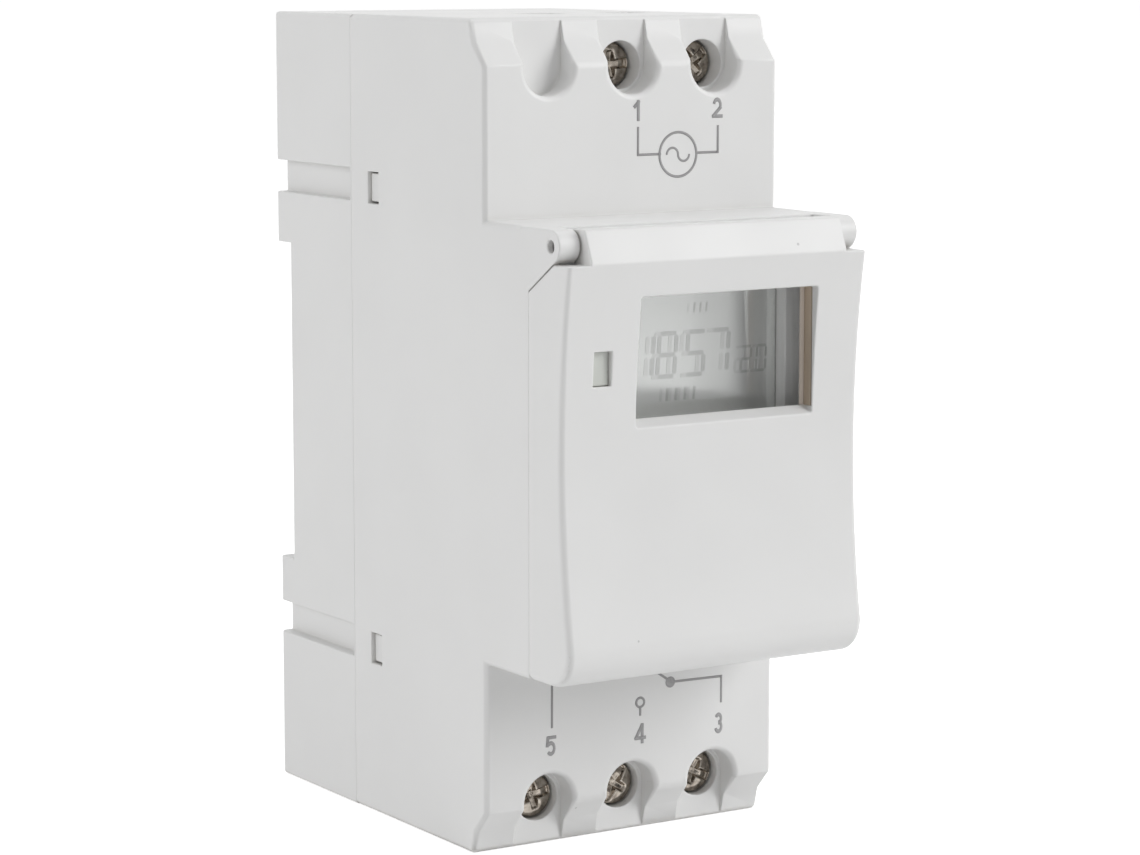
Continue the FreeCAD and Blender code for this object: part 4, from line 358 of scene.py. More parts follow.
# Edge: outer corners, lightened for wear and as a painted highlight.
edge = spread(edge_light_and_shade, turn.outputs["Value"], 1.0, 0.0, start=0.82, end=0.985)
edge = calc(edge_light_and_shade, "MULTIPLY", edge, spread(edge_light_and_shade, scuff, 0.55, 1.0), clamp=True)
edge = calc(edge_light_and_shade, "MULTIPLY", edge, spread(edge_light_and_shade, open_air, 0.0, 1.0, start=0.80, end=0.92))
join(edge_light_and_shade, edge, edge_light_and_shade_out.inputs["Edge"])
# Crease: painted shade where the occlusion finds a crease.
join(edge_light_and_shade, spread(edge_light_and_shade, open_air, 1.0, 0.0, start=0.35, end=0.85), edge_light_and_shade_out.inputs["Crease"])
join(edge_light_and_shade, soft.outputs["Normal"], edge_light_and_shade_out.inputs["Normal"])
print("group:", edge_light_and_shade.name)

# %% [markdown]
# White plastic in a photograph always carries a few specks, and dust settles where the
# surface faces up. Rare cells of a Voronoi pattern are the specks, and the upward part of
# the normal, broken up by noise, is the dust.

# %% Group: specks and dust
SPECK_SHARE = 0.10

dusty, dusty_in, dusty_out = new_group(
    "Specks and dust",
    [("Speck Size", 0.16), ("Spacing", 3.2)],
    [("Speck", NUMBER), ("Dust", NUMBER)],
)
cells = add_node(dusty, "ShaderNodeTexVoronoi")
place = add_node(dusty, "ShaderNodeTexCoord")
join(dusty, place.outputs["Object"], cells.inputs["Vector"])
join(dusty, calc(dusty, "DIVIDE", 1000.0, dusty_in.outputs["Spacing"]), cells.inputs["Scale"])
reach = calc(dusty, "DIVIDE", dusty_in.outputs["Speck Size"], dusty_in.outputs["Spacing"])
near_dot = calc(dusty, "LESS_THAN", cells.outputs["Distance"], reach)
rare = add_node(dusty, "ShaderNodeSeparateColor")
join(dusty, cells.outputs["Color"], rare.inputs["Color"])
chosen = calc(dusty, "GREATER_THAN", rare.outputs["Red"], 1.0 - SPECK_SHARE)
join(dusty, calc(dusty, "MULTIPLY", near_dot, chosen), dusty_out.inputs["Speck"])
faces = add_node(dusty, "ShaderNodeNewGeometry")
axes = add_node(dusty, "ShaderNodeSeparateXYZ")
join(dusty, faces.outputs["Normal"], axes.inputs["Vector"])
lying = spread(dusty, axes.outputs["Z"], 0.0, 1.0, start=0.5, end=1.0)
drift = spread(dusty, noise(dusty, 420.0, detail=4.0), 0.0, 1.0, start=0.45, end=0.75)
join(dusty, calc(dusty, "MULTIPLY", lying, drift), dusty_out.inputs["Dust"])
print("group:", dusty.name)

# %% [markdown]
# Cold-formed and plated metal has fine draw lines in one direction and a cloudy gloss.
# Noise stretched along one axis gives the lines, and plain noise the clouds.

# %% Group: drawn metal
drawn, drawn_in, drawn_out = new_group(
    "Drawn metal",
    [("Line Size", 0.08), ("Stretch", 12.0), ("Gloss Low", 0.18), ("Gloss High", 0.36)],
    [("Tone", NUMBER), ("Roughness", NUMBER), ("Height", NUMBER)],
)
metal_place = add_node(drawn, "ShaderNodeTexCoord")
squeeze = add_node(drawn, "ShaderNodeVectorMath", operation="MULTIPLY")
along = add_node(drawn, "ShaderNodeCombineXYZ")
join(drawn, metal_place.outputs["Object"], squeeze.inputs[0])
join(drawn, 1.0, along.inputs["X"])
join(drawn, 1.0, along.inputs["Y"])
join(drawn, calc(drawn, "DIVIDE", 1.0, drawn_in.outputs["Stretch"]), along.inputs["Z"])
join(drawn, along.outputs["Vector"], squeeze.inputs[1])
line_scale = calc(drawn, "DIVIDE", 1000.0, drawn_in.outputs["Line Size"])
lines = noise(drawn, line_scale, detail=2.0, vector=squeeze.outputs["Vector"])
clouds = noise(drawn, 700.0, detail=3.0)
join(drawn, spread(drawn, clouds, 0.72, 1.0), drawn_out.inputs["Tone"])
metal_rough = spread(drawn, clouds, drawn_in.outputs["Gloss High"], drawn_in.outputs["Gloss Low"])
join(drawn, metal_rough, drawn_out.inputs["Roughness"])
join(drawn, lines, drawn_out.inputs["Height"])
print("group:", drawn.name)

# %% [markdown]
# Each finish is a Principled shader in its own material, fed by the groups. Plastic gets
# its base colour, lightened on the corners for wear and as a painted highlight, darkened
# in its creases as painted shade, darkened by specks and greyed by dust, and a bump of a
# few micrometres from the skin's height.

# %% Plastic finishes
DUST_COLOUR = (0.62, 0.61, 0.58)
# Shares of the base colour left in the painted crease shade, warm in tint.
CREASE_SHADE_SHARES = (0.55, 0.50, 0.42)
SPECK_DARK = 0.45


def use_group(tree, group, **values):
    node = add_node(tree, "ShaderNodeGroup", node_tree=group)
    for name, number in values.items():
        node.inputs[name.replace("_", " ")].default_value = number
    return node


def blend_colour(tree, amount, first, second, mode="MIX"):
    node = add_node(tree, "ShaderNodeMix", data_type="RGBA", blend_type=mode)
    join(tree, amount, node.inputs[0])
    join(tree, first, node.inputs[6])
    join(tree, second, node.inputs[7])
    return node.outputs[2]


def shade(tree, colour, tone):
    """Multiply a colour by a grey tone."""
    grey = add_node(tree, "ShaderNodeCombineColor")
    for channel in ("Red", "Green", "Blue"):
        join(tree, tone, grey.inputs[channel])
    return blend_colour(tree, 1.0, colour, grey.outputs["Color"], "MULTIPLY")


def opaque(colour):
    return (*colour, 1.0)


def rough_skin(tree, shader, height, corner, strength, depth):
    """Bump a shader by a height in mm, over the soft normal of its corners."""
    bump = add_node(tree, "ShaderNodeBump")
    bump.inputs["Strength"].default_value = strength
    bump.inputs["Distance"].default_value = depth * MM
    join(tree, height, bump.inputs["Height"])
    if corner:
        join(tree, corner.outputs["Normal"], bump.inputs["Normal"])
    join(tree, bump.outputs["Normal"], shader.inputs["Normal"])


def plastic(name, colour, corner_wear_and_sheen, gloss=(0.36, 0.46), depth=0.004, tone=0.02, specks=0.5, dust=0.05,
            wear_and_sheen_share=0.9, crease_shade=0.22):
    """Moulded plastic: base colour, colour of its corners for wear and a painted highlight, skin depth in
    mm.
    """
    material, tree, shader = new_material(name)
    surface = use_group(tree, skin, Tone_Spread=tone, Gloss_Low=gloss[0], Gloss_High=gloss[1])
    corner = use_group(tree, edge_light_and_shade)
    dirt = use_group(tree, dusty)
    base = shade(tree, opaque(colour), surface.outputs["Tone"])
    # Corners: lightened for wear and as a painted highlight.
    wear_and_sheen_amount = calc(tree, "MULTIPLY", corner.outputs["Edge"], wear_and_sheen_share)
    base = blend_colour(tree, wear_and_sheen_amount, base, opaque(corner_wear_and_sheen))
    # Creases: darkened as painted shade.
    crease_shade_amount = calc(tree, "MULTIPLY", corner.outputs["Crease"], crease_shade)
    crease_shade_colour = [share * part for share, part in zip(CREASE_SHADE_SHARES, colour)]
    base = blend_colour(tree, crease_shade_amount, base, opaque(crease_shade_colour))
    speck_amount = calc(tree, "MULTIPLY", dirt.outputs["Speck"], specks)
    base = blend_colour(tree, speck_amount, base, opaque([SPECK_DARK * part for part in colour]))
    dust_amount = calc(tree, "MULTIPLY", dirt.outputs["Dust"], dust)
    base = blend_colour(tree, dust_amount, base, opaque(DUST_COLOUR))
    join(tree, base, shader.inputs["Base Color"])
    join(tree, surface.outputs["Roughness"], shader.inputs["Roughness"])
    rough_skin(tree, shader, surface.outputs["Height"], corner, 0.6, depth)
    return material


def even_coat(name, colour, gloss, tone, depth=0.004):
    """A thin even coat, such as ink or a film: no lightened corners, painted crease shade, specks or
    dust.
    """
    return plastic(name, colour, colour, gloss=gloss, depth=depth, tone=tone,
                   specks=0.0, dust=0.0, wear_and_sheen_share=0.0, crease_shade=0.0)


FINISHES = {
    "case_plastic": plastic("white case plastic", (0.79, 0.79, 0.785), (0.93, 0.93, 0.925)),
    "latch_plastic": plastic("white latch plastic", (0.74, 0.74, 0.73), (0.82, 0.82, 0.81)),
    "key_plastic": plastic("grey key plastic", (0.30, 0.31, 0.33), (0.42, 0.43, 0.45), specks=0.2),
    "holder_plastic": plastic("white holder plastic", (0.70, 0.70, 0.69), (0.78, 0.78, 0.77)),
    "black_plastic": plastic("black plastic", (0.022, 0.023, 0.026), (0.07, 0.07, 0.075),
                             gloss=(0.42, 0.55), specks=0.0, dust=0.12),
    "contact_rubber": plastic("striped contact rubber", (0.55, 0.50, 0.46), (0.60, 0.55, 0.50),
                              gloss=(0.6, 0.75)),
    "component_ceramic": plastic("blue coated ceramic", (0.05, 0.17, 0.38), (0.10, 0.26, 0.50),
                                 gloss=(0.22, 0.34), specks=0.0),
    "capacitor_yellow": plastic("yellow capacitor case", (0.80, 0.55, 0.08), (0.88, 0.66, 0.18),
                                gloss=(0.3, 0.42), specks=0.1),
    "capacitor_sleeve": plastic("black capacitor sleeve", (0.03, 0.035, 0.06), (0.10, 0.11, 0.14),
                                gloss=(0.2, 0.3), specks=0.0),
}
print("plastic finishes:", sorted(FINISHES))

# %% [markdown]
# Clear and translucent plastics let light through. The window pane is thin clear acrylic
# with faint wiping marks. It is so thin that light goes through it almost unbent, so most
# of the light that falls on the parts behind it passes straight. The light guide is the
# same plastic left slightly milky, and the lamp is a tinted epoxy dome.

# %% Clear finishes
THIN_SHADE = 0.1


def clear_plastic(name, colour, gloss, transmission, ior=1.49, thin=False):
    """Clear plastic; a thin one bends light so little that most of it goes straight on."""
    material, tree, shader = new_material(name)
    if thin:
        path = add_node(tree, "ShaderNodeLightPath")
        scattered = calc(tree, "GREATER_THAN", path.outputs["Diffuse Depth"], 0.5)
        lighting = calc(tree, "MAXIMUM", path.outputs["Is Shadow Ray"], scattered)
        join(tree, spread(tree, lighting, 1.0, THIN_SHADE, start=0.0, end=1.0), shader.inputs["Alpha"])
    surface = use_group(tree, skin, Wave_Size=6.0, Gloss_Low=gloss[0], Gloss_High=gloss[1])
    join(tree, shade(tree, opaque(colour), surface.outputs["Tone"]), shader.inputs["Base Color"])
    join(tree, surface.outputs["Roughness"], shader.inputs["Roughness"])
    shader.inputs["Transmission Weight"].default_value = transmission
    shader.inputs["IOR"].default_value = ior
    return material


FINISHES["window_plastic"] = clear_plastic("clear window", (1.0, 1.0, 1.0), (0.0, 0.01), 1.0, thin=True)
FINISHES["guide_plastic"] = clear_plastic("milky light guide", (0.69, 0.71, 0.67), (0.25, 0.4), 0.12)
FINISHES["lamp_plastic"] = clear_plastic("red lamp epoxy", (0.62, 0.10, 0.07), (0.05, 0.1), 0.6, ior=1.52)
print("clear finishes made")

# %% [markdown]
# The metals differ in colour, gloss and how much the drawing lines show. Nickel on the
# screws is warm and dark in its recesses; zinc on the latch spring and cages is bluer.
# The corners of the nickel lighten to near white, for wear and as a painted glint.

# %% Metal finishes
TARNISH_START, TARNISH_END = 0.40, 0.75


def metal(name, colour, dark, gloss, line_size=0.08, stretch=12.0, depth=0.002, edge_width=0.15,
          bright=None):
    """Plated or drawn metal: its colour, its tarnish and the colour its corners lighten to, for wear and
    a painted glint.
    """
    material, tree, shader = new_material(name)
    surface = use_group(tree, drawn, Line_Size=line_size, Stretch=stretch,
                        Gloss_Low=gloss[0], Gloss_High=gloss[1])
    corner = use_group(tree, edge_light_and_shade, Width=edge_width)
    clouding = noise(tree, 1500.0, detail=4.0)
    tarnish = spread(tree, clouding, 0.0, 1.0, start=TARNISH_START, end=TARNISH_END)
    base = blend_colour(tree, tarnish, opaque(colour), opaque(dark))
    base = shade(tree, base, surface.outputs["Tone"])
    # Corners lighten toward the given colour: wear, and a painted glint where it is near white.
    wear_and_sheen_amount = calc(tree, "MULTIPLY", corner.outputs["Edge"], 0.8 if bright else 0.5)
    base = blend_colour(tree, wear_and_sheen_amount, base, opaque(bright or colour))
    join(tree, base, shader.inputs["Base Color"])
    join(tree, surface.outputs["Roughness"], shader.inputs["Roughness"])
    shader.inputs["Metallic"].default_value = 1.0
    rough_skin(tree, shader, surface.outputs["Height"], corner, 0.5, depth)
    return material


FINISHES["nickel_steel"] = metal(
    "nickel plated steel", (0.50, 0.45, 0.39), (0.17, 0.14, 0.115), (0.08, 0.2),
    line_size=0.6, stretch=1.5, depth=0.02, edge_width=0.22, bright=(0.95, 0.92, 0.87),
)
FINISHES["steel"] = metal("bright steel", (0.55, 0.55, 0.56), (0.34, 0.34, 0.35), (0.2, 0.35))
FINISHES["zinc_steel"] = metal("zinc plated steel", (0.60, 0.62, 0.66), (0.42, 0.44, 0.47), (0.25, 0.42))
FINISHES["brass"] = metal("brass strip", (0.78, 0.56, 0.26), (0.52, 0.36, 0.16), (0.2, 0.34))
print("metal finishes made")

# %% [markdown]
# The display is glass on a reflective back, so it is half a mirror: it shows the card,
# bright at its left and dark at its right. Its figures and their shadows are the same
# mirror in darker greys.

# %% Display finishes
MIRROR_SHARE = 0.62
DISPLAY_GREEN = 1.02


def display_finish(name, grey):
    """Half a mirror of a given grey."""
    material, tree, shader = new_material(name)
    surface = use_group(tree, skin, Wave_Size=9.0, Tone_Spread=0.05, Gloss_Low=0.025, Gloss_High=0.05)
    colour = opaque((grey, DISPLAY_GREEN * grey, grey))
    join(tree, shade(tree, colour, surface.outputs["Tone"]), shader.inputs["Base Color"])
    join(tree, surface.outputs["Roughness"], shader.inputs["Roughness"])
    shader.inputs["Metallic"].default_value = MIRROR_SHARE
    return material


FINISHES["display_glass"] = display_finish("display glass", 0.74)
SEGMENT = display_finish("display segments", 0.54)
SEGMENT_SHADOW = display_finish("segment shadows", 0.65)
print("display finishes made")

# %% [markdown]
# The circuit boards are green lacquer over copper tracks. A brick pattern turned to face
# the front gives lines that meet at right angles, as tracks do, and a bump lifts them. The
# printing on the case is a flat grey ink.

# %% Board and ink finishes
LACQUER, COPPER_UNDER = (0.02, 0.16, 0.07), (0.05, 0.27, 0.11)
INK_COLOUR = (0.39, 0.385, 0.39)

board, board_tree, board_shader = new_material("circuit board")
board_place = add_node(board_tree, "ShaderNodeTexCoord")
board_turn = add_node(board_tree, "ShaderNodeMapping")
board_turn.inputs["Rotation"].default_value = (math.pi / 2, 0.0, 0.0)
join(board_tree, board_place.outputs["Object"], board_turn.inputs["Vector"])
tracks = add_node(board_tree, "ShaderNodeTexBrick")
tracks.inputs["Scale"].default_value = 260.0
tracks.inputs["Mortar Size"].default_value = 0.05
tracks.inputs["Mortar Smooth"].default_value = 0.1
join(board_tree, board_turn.outputs["Vector"], tracks.inputs["Vector"])
board_base = blend_colour(board_tree, tracks.outputs["Fac"], opaque(LACQUER), opaque(COPPER_UNDER))
board_skin = use_group(board_tree, skin, Tone_Spread=0.12, Gloss_Low=0.22, Gloss_High=0.34)
board_base = shade(board_tree, board_base, board_skin.outputs["Tone"])
join(board_tree, board_base, board_shader.inputs["Base Color"])
join(board_tree, board_skin.outputs["Roughness"], board_shader.inputs["Roughness"])
rough_skin(board_tree, board_shader, tracks.outputs["Fac"], None, 0.6, 0.03)
FINISHES["circuit_board"] = board

INK = even_coat("grey printing ink", INK_COLOUR, (0.5, 0.62), tone=0.16, depth=0.001)
print("finishes:", len(FINISHES), "of", len(set(SLOT_OF.values())), "slots")

# %% [markdown]
# Every CAD node takes the finish of its slot. Nodes that nothing replaces below are shown
# as they are, so they are finished here first.

# %% Finish the CAD nodes
for node, thing in NODES.items():
    thing.data.materials.clear()
    thing.data.materials.append(FINISHES[SLOT_OF[node]])
print("finished nodes:", len(NODES))

# %% [markdown]
# The CAD shells have sharp corners, and real tools leave a small radius on each, which
# catches the light as a thin bright line. One bevel of every edge would round them all
# alike, so each edge of a copy gets its own weight instead. These helpers put a mesh on
# its body, shade it, and read where a vertex lies.

# %% Helpers for the pieces
WELD = 0.002 * MM
FLAT = math.radians(0.5)
SHARP = math.radians(35.0)


def show(name, data, body, material):
    """Make an object of a mesh, on a body and a finish."""
    thing = bpy.data.objects.new(name, data)
    bpy.context.scene.collection.objects.link(thing)
    thing.data.materials.append(material)
    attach(thing, body)
    return thing


def shade_by_angle(shape, angle=40.0):
    """Smooth faces, with the edges above the angle kept sharp."""
    for face in shape.faces:
        face.smooth = True
    for side in shape.edges:
        if side.is_manifold:
            side.smooth = side.calc_face_angle() < math.radians(angle)


def to_object(name, shape, body, material):
    data = bpy.data.meshes.new(name)
    shape.to_mesh(data)
    shape.free()
    thing = show(name, data, body, material)
    flow = thing.modifiers.new("even normals", "WEIGHTED_NORMAL")
    flow.keep_sharp = True
    return thing


def place_of(vert):
    """A vertex as across, forward and height in mm."""
    return vert.co.x / MM, REAR - vert.co.y / MM, vert.co.z / MM


print("edges sharper than", round(math.degrees(SHARP)), "degrees get a radius")

# %% [markdown]
# The mouths of the screwdriver wells are the roundest, and the steep edges of the wells
# come next. Edges where two parts meet stay sharp, so that the joint between them stays
# fine. At the flap's sides the radius follows the chamfer, which narrows toward the hinge.

# %% Radii of the edges
BIGGEST = 0.60
SMALL = 0.12
WELL_SLOPE = 0.32
FOOT_EDGE = 0.03
SHOULDER = 45.0
WELL_FLOOR = 42.3
WELL_ENDS = (8.5, 77.5)
WELL_MIDDLES = (6.0, 80.0)
WELL_REACH = 14.0
LEDGE, LEDGE_CLEAR = 53.5, 0.2
EAR_FOOT, EAR_TOP = 59.3, 62.9
CASE_HALF = 18.0
TOUCH = 0.02
FLAP_FACE, FLAP_FOOT = 57.6, 21.2
FLAP_HEIGHTS = (24.0, 62.4)
FLAP_SHARE = 0.60
CHAMFER, CHAMFER_TOP, CHAMFER_FOOT = 0.9, 0.28, 0.45


def chamfer_left(up):
    """What is left of the flap's side chamfer: it narrows from the foot to the hinge."""
    low, high = FLAP_HEIGHTS
    share = min(max((up - low) / (high - low), 0.0), 1.0)
    return CHAMFER_FOOT + (CHAMFER_TOP - CHAMFER_FOOT) * share


def edge_radius(side, node):
    """How round the tool left an edge, in mm; 0 where two parts meet."""
    ends = [place_of(vert) for vert in side.verts]
    across, forward, up = ((one + other) / 2 for one, other in zip(*ends))
    on_flap_side = abs(across) > CASE_HALF - 0.6 and (forward > FLAP_FACE or up < FLAP_FOOT)
    if node == "flap_cover" and on_flap_side:
        return FLAP_SHARE * chamfer_left(up)
    if abs(forward - LEDGE) < LEDGE_CLEAR:
        return 0.0
    if abs(abs(across) - CASE_HALF) < TOUCH and EAR_FOOT < up < EAR_TOP and forward > LEDGE:
        return 0.0
    if up < TOUCH:
        return FOOT_EDGE
    at_well = not WELL_ENDS[0] < up < WELL_ENDS[1] and abs(across) < WELL_REACH
    if node != "front_housing" or not at_well or not WELL_FLOOR - 0.1 <= forward <= SHOULDER + 0.1:
        return SMALL
    if forward > SHOULDER - 0.1:
        return BIGGEST if abs(across) < WELL_REACH - 0.5 else SMALL
    if abs(ends[0][1] - ends[1][1]) > 1.0:
        return WELL_SLOPE
    return 0.0 if not WELL_MIDDLES[0] < up < WELL_MIDDLES[1] else SMALL


print("radii from", FOOT_EDGE, "to", BIGGEST, "mm")

# %% [markdown]
# A copy of a shell is merged from its loose triangles, and its flat faces are joined, so
# that only real corners are left. The bevel operator takes one width, so the rounding is
# left to a Bevel modifier that reads the weights, and its result is kept as the mesh.

# %% A soft-edged copy
def dressed(node, name, reshape=None):
    """A soft-edged copy of a CAD node that stands for it."""
    shape = bmesh.new()
    shape.from_mesh(NODES[node].data)
    bmesh.ops.remove_doubles(shape, verts=shape.verts, dist=WELD)
    bmesh.ops.dissolve_limit(shape, angle_limit=FLAT, verts=shape.verts, edges=shape.edges)
    if reshape:
        reshape(shape)
        bmesh.ops.remove_doubles(shape, verts=shape.verts, dist=WELD)
    weight = shape.edges.layers.float.new("bevel_weight_edge")
    for side in shape.edges:
        if side.is_manifold and side.calc_face_angle() > SHARP:
            side[weight] = edge_radius(side, node) / BIGGEST
    data = bpy.data.meshes.new(name)
    shape.to_mesh(data)
    shape.free()
    holder = bpy.data.objects.new(name, data)
    bpy.context.scene.collection.objects.link(holder)
    rounding = holder.modifiers.new("rounding", "BEVEL")
    rounding.limit_method = "WEIGHT"
    rounding.offset_type = "OFFSET"
    rounding.width = BIGGEST * MM
    rounding.segments = 3
    rounding.use_clamp_overlap = False
    bpy.context.view_layer.update()
    finished = holder.evaluated_get(bpy.context.evaluated_depsgraph_get())
    rounded = bpy.data.meshes.new_from_object(finished)
    bpy.data.objects.remove(holder)
    shape = bmesh.new()
    shape.from_mesh(rounded)
    for vert in shape.verts:
        vert.co.z = max(vert.co.z, 0.0)
    shade_by_angle(shape)
    thing = to_object(name, shape, BODY_OF[node], FINISHES[SLOT_OF[node]])
    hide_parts(node)
    return thing


# %% [markdown]
# The real flap differs a little from its CAD shell: the window's sill slopes outward, the
# side chamfers are narrow, and its rim lies on the case. It could be built anew, but
# the copy has the right corners already, so they are only moved.

# %% Shape the flap
WINDOW = (-9.2, 12.3, 46.2, 58.7)
SILL_DROP, SILL_LIFT, HEAD_LIFT = 0.35, 0.5, 0.3
WINDOW_CORNER = 0.31
PANE_SEAT, SILL_MIDDLE = 58.1, 58.4
RIM, RIM_SINK = 53.6, 0.01
ROUND_CENTRE = (57.4, 24.0)
TOP_EDGE, TOP_FACE = 62.3, 59.0


def finish_the_flap(shape):
    """Slope the window's sill, narrow the side chamfers and let the rim lie on the case."""
    left, right, low, high = WINDOW
    for vert in shape.verts:
        across, forward, up = place_of(vert)
        if left - TOUCH < across < right + TOUCH and forward > PANE_SEAT:
            if abs(up - low) < WINDOW_CORNER:
                vert.co.z += (SILL_LIFT if forward < SILL_MIDDLE else -SILL_DROP) * MM
            elif abs(up - high) < WINDOW_CORNER:
                vert.co.z += HEAD_LIFT * MM
        if abs(forward - RIM) < TOUCH:
            vert.co.y = (REAR - LEDGE - RIM_SINK) * MM
        inward = (CASE_HALF - abs(across)) / CHAMFER
        behind = (forward < FLAP_FACE and up > FLAP_FOOT + 0.2) or (forward < TOP_FACE and up > TOP_EDGE)
        if inward > 1.01 or behind:
            continue
        left_over = chamfer_left(up)
        outward = Vector((max(forward - ROUND_CENTRE[0], 0.0), min(up - ROUND_CENTRE[1], 0.0)))
        outward = outward.normalized() * (1.0 - inward) * (CHAMFER - left_over)
        vert.co.x = math.copysign(CASE_HALF - left_over * inward, across) * MM
        vert.co.y -= outward.x * MM
        vert.co.z += outward.y * MM


print("window:", WINDOW[1] - WINDOW[0], "by", WINDOW[3] - WINDOW[2], "mm")

# %% [markdown]
# Two smaller corrections are made the same way. The base's snap tongues fill their windows
# in the front, with a thin shadow round them, and the panel's opening ends out of sight
# behind the flap's window.

# %% Snap tongues and the panel's opening
TONGUE_FACE = 16.6
NIB_REAR, NIB_REAR_SEEN, NIB_CREST, NIB_OUT = 21.2, 21.02, 22.95, 0.15
PANEL = (53.3, 55.1)
OPENING = (-8.05, 11.15, 46.2, 57.8)
OPENING_SEEN = (-8.05, 11.8, 45.4, 58.6)


def fill_the_snaps(shape):
    """Bring the noses of the tongues outward and make them as long as their windows."""
    for vert in shape.verts:
        across, forward, up = place_of(vert)
        if abs(across) > TONGUE_FACE and NIB_REAR - TOUCH < forward < NIB_CREST + TOUCH:
            vert.co.x += math.copysign(NIB_OUT, across) * MM
            vert.co.y = (REAR - (NIB_CREST if forward > NIB_REAR + 0.1 else NIB_REAR_SEEN)) * MM


def widen_the_opening(shape):
    """The panel's opening ends behind the flap's window, as seen in the photograph."""
    left, right, low, high = OPENING
    for vert in shape.verts:
        across, forward, up = place_of(vert)
        near = left - 0.1 < across < right + 0.1 and low - 0.1 < up < high + 0.1
        if not near or not PANEL[0] < forward < PANEL[1]:
            continue
        for axis, number, place in (("x", 0, across), ("x", 1, across), ("z", 2, up), ("z", 3, up)):
            if abs(place - OPENING[number]) < TOUCH:
                setattr(vert.co, axis, OPENING_SEEN[number] * MM)


print("opening:", OPENING_SEEN[1] - OPENING_SEEN[0], "by", OPENING_SEEN[3] - OPENING_SEEN[2], "mm")

# %% [markdown]
# Eight parts that show from outside are replaced by soft-edged copies. The keys, the
# circuit boards and the parts on them are small and hidden, so their CAD solids will do.

# %% Make the soft copies
SOFT_COPIES = [
    ("rear_base", "case_base", fill_the_snaps),
    ("front_housing", "case_front", widen_the_opening),
    ("flap_cover", "flap_shell", finish_the_flap),
    ("rail_latch", "latch_slider", None),
    ("lcd_holder", "display_frame", None),
    ("flap_window_pane", "window_pane", None),
    ("light_guide", "guide_block", None),
    ("hinge_pin", "hinge_rod", None),
]
for node, name, reshape in SOFT_COPIES:
    made = dressed(node, name, reshape)
    print(name, len(made.data.polygons), "faces")

# %% [markdown]
# The clamp screws take a flat or a cross blade, so each domed head has a slot right across
# and a cross that deepens to its middle. The radial outline is spun into a body of
# rotation, with close rings on its face, and the face is then pressed in along the slot
# and the cross. Cutting them with a boolean would be quicker, but pressing leaves sloped
# flanks that catch the light. The heads stand at different angles.

# %% Clamp screws
HEAD_RADIUS = 2.3
HEAD_TALL = 2.4
SHANK_RADIUS = 1.75
FACE_RADIUS = 2.0
FACE_RINGS = 26
CROWN = 0.26
SCREW_STEPS = 112
SLOT_HALF = 0.34
SLOT_DEEP = 0.42
CROSS_HALF = 0.34
CROSS_REACH = 1.5
CROSS_DEEP = 0.9
FLANK = 0.2
SCREW_ANGLES = {1: 4.0, 2: 38.0, 3: -24.0, 4: 58.0, 5: 12.0}


def wall_matrix(across, forward, height, angle=0.0):
    """Local X to the right, local Y up and local Z out of a wall that faces the front."""
    upright = Matrix.Rotation(math.pi / 2, 4, "X")
    turned = Matrix.Rotation(angle, 4, "Z")
    return Matrix.Translation(spot(across, forward, height)) @ upright @ turned


def groove(offset, half):
    """1 on the floor of a groove, 0 outside it, and a slope between."""
    return min(max((half + FLANK - abs(offset)) / FLANK, 0.0), 1.0)


def recess_depth(along, across):
    """How deep the slot and the cross are pressed in at a point of the face, in mm."""
    depth = SLOT_DEEP * groove(across, SLOT_HALF)
    for reach, offset in ((along, across), (across, along)):
        taper = max(1.0 - abs(reach) / CROSS_REACH, 0.0)
        end = groove(reach, CROSS_REACH - FLANK)
        half = CROSS_HALF * (0.7 + 0.3 * taper)
        arm = CROSS_DEEP * (0.3 + 0.7 * taper) * groove(offset, half)
        depth = max(depth, arm * end)
    return depth


def clamp_screw(number, angle):
    node = f"terminal_screw_{number}"
    low, high = (Vector(corner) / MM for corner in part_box(node))
    face_forward = REAR - low.y
    long = high.y - low.y
    shape = bmesh.new()
    shares = [ring / FACE_RINGS for ring in range(FACE_RINGS + 1)]
    outline = [(FACE_RADIUS * share, -CROWN * share ** 2) for share in shares]
    outline += [
        (HEAD_RADIUS - 0.14, -CROWN - 0.07), (HEAD_RADIUS - 0.04, -CROWN - 0.18),
        (HEAD_RADIUS, -CROWN - 0.32), (HEAD_RADIUS, -HEAD_TALL + 0.1), (HEAD_RADIUS - 0.1, -HEAD_TALL),
        (SHANK_RADIUS, -HEAD_TALL), (SHANK_RADIUS, 0.4 - long),
        (SHANK_RADIUS - 0.4, -long), (0.0, -long),
    ]
    chain = [shape.verts.new((radius, 0.0, up)) for radius, up in outline]
    sides = [shape.edges.new(pair) for pair in zip(chain, chain[1:])]
    bmesh.ops.spin(
        shape, geom=chain + sides, cent=(0.0, 0.0, 0.0), axis=(0.0, 0.0, 1.0),
        angle=2 * math.pi, steps=SCREW_STEPS, use_merge=True, use_duplicate=False,
    )
    bmesh.ops.remove_doubles(shape, verts=shape.verts, dist=0.0005)
    for vert in shape.verts:
        if vert.co.z > -CROWN - 0.02:
            vert.co.z -= recess_depth(vert.co.x, vert.co.y)
    bmesh.ops.recalc_face_normals(shape, faces=shape.faces)
    place = wall_matrix((low.x + high.x) / 2, face_forward, (low.z + high.z) / 2, math.radians(angle))
    bmesh.ops.transform(shape, verts=shape.verts, matrix=place @ Matrix.Diagonal((MM, MM, MM, 1.0)))
    shade_by_angle(shape, 32.0)
    slot = SLOT_OF[node]
    thing = to_object(f"clamp_screw_{number}", shape, BODY_OF[node], FINISHES[slot])
    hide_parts(node)
    return thing


for number, angle in SCREW_ANGLES.items():
    made = clamp_screw(number, angle)
    print(made.name, len(made.data.polygons), "faces")

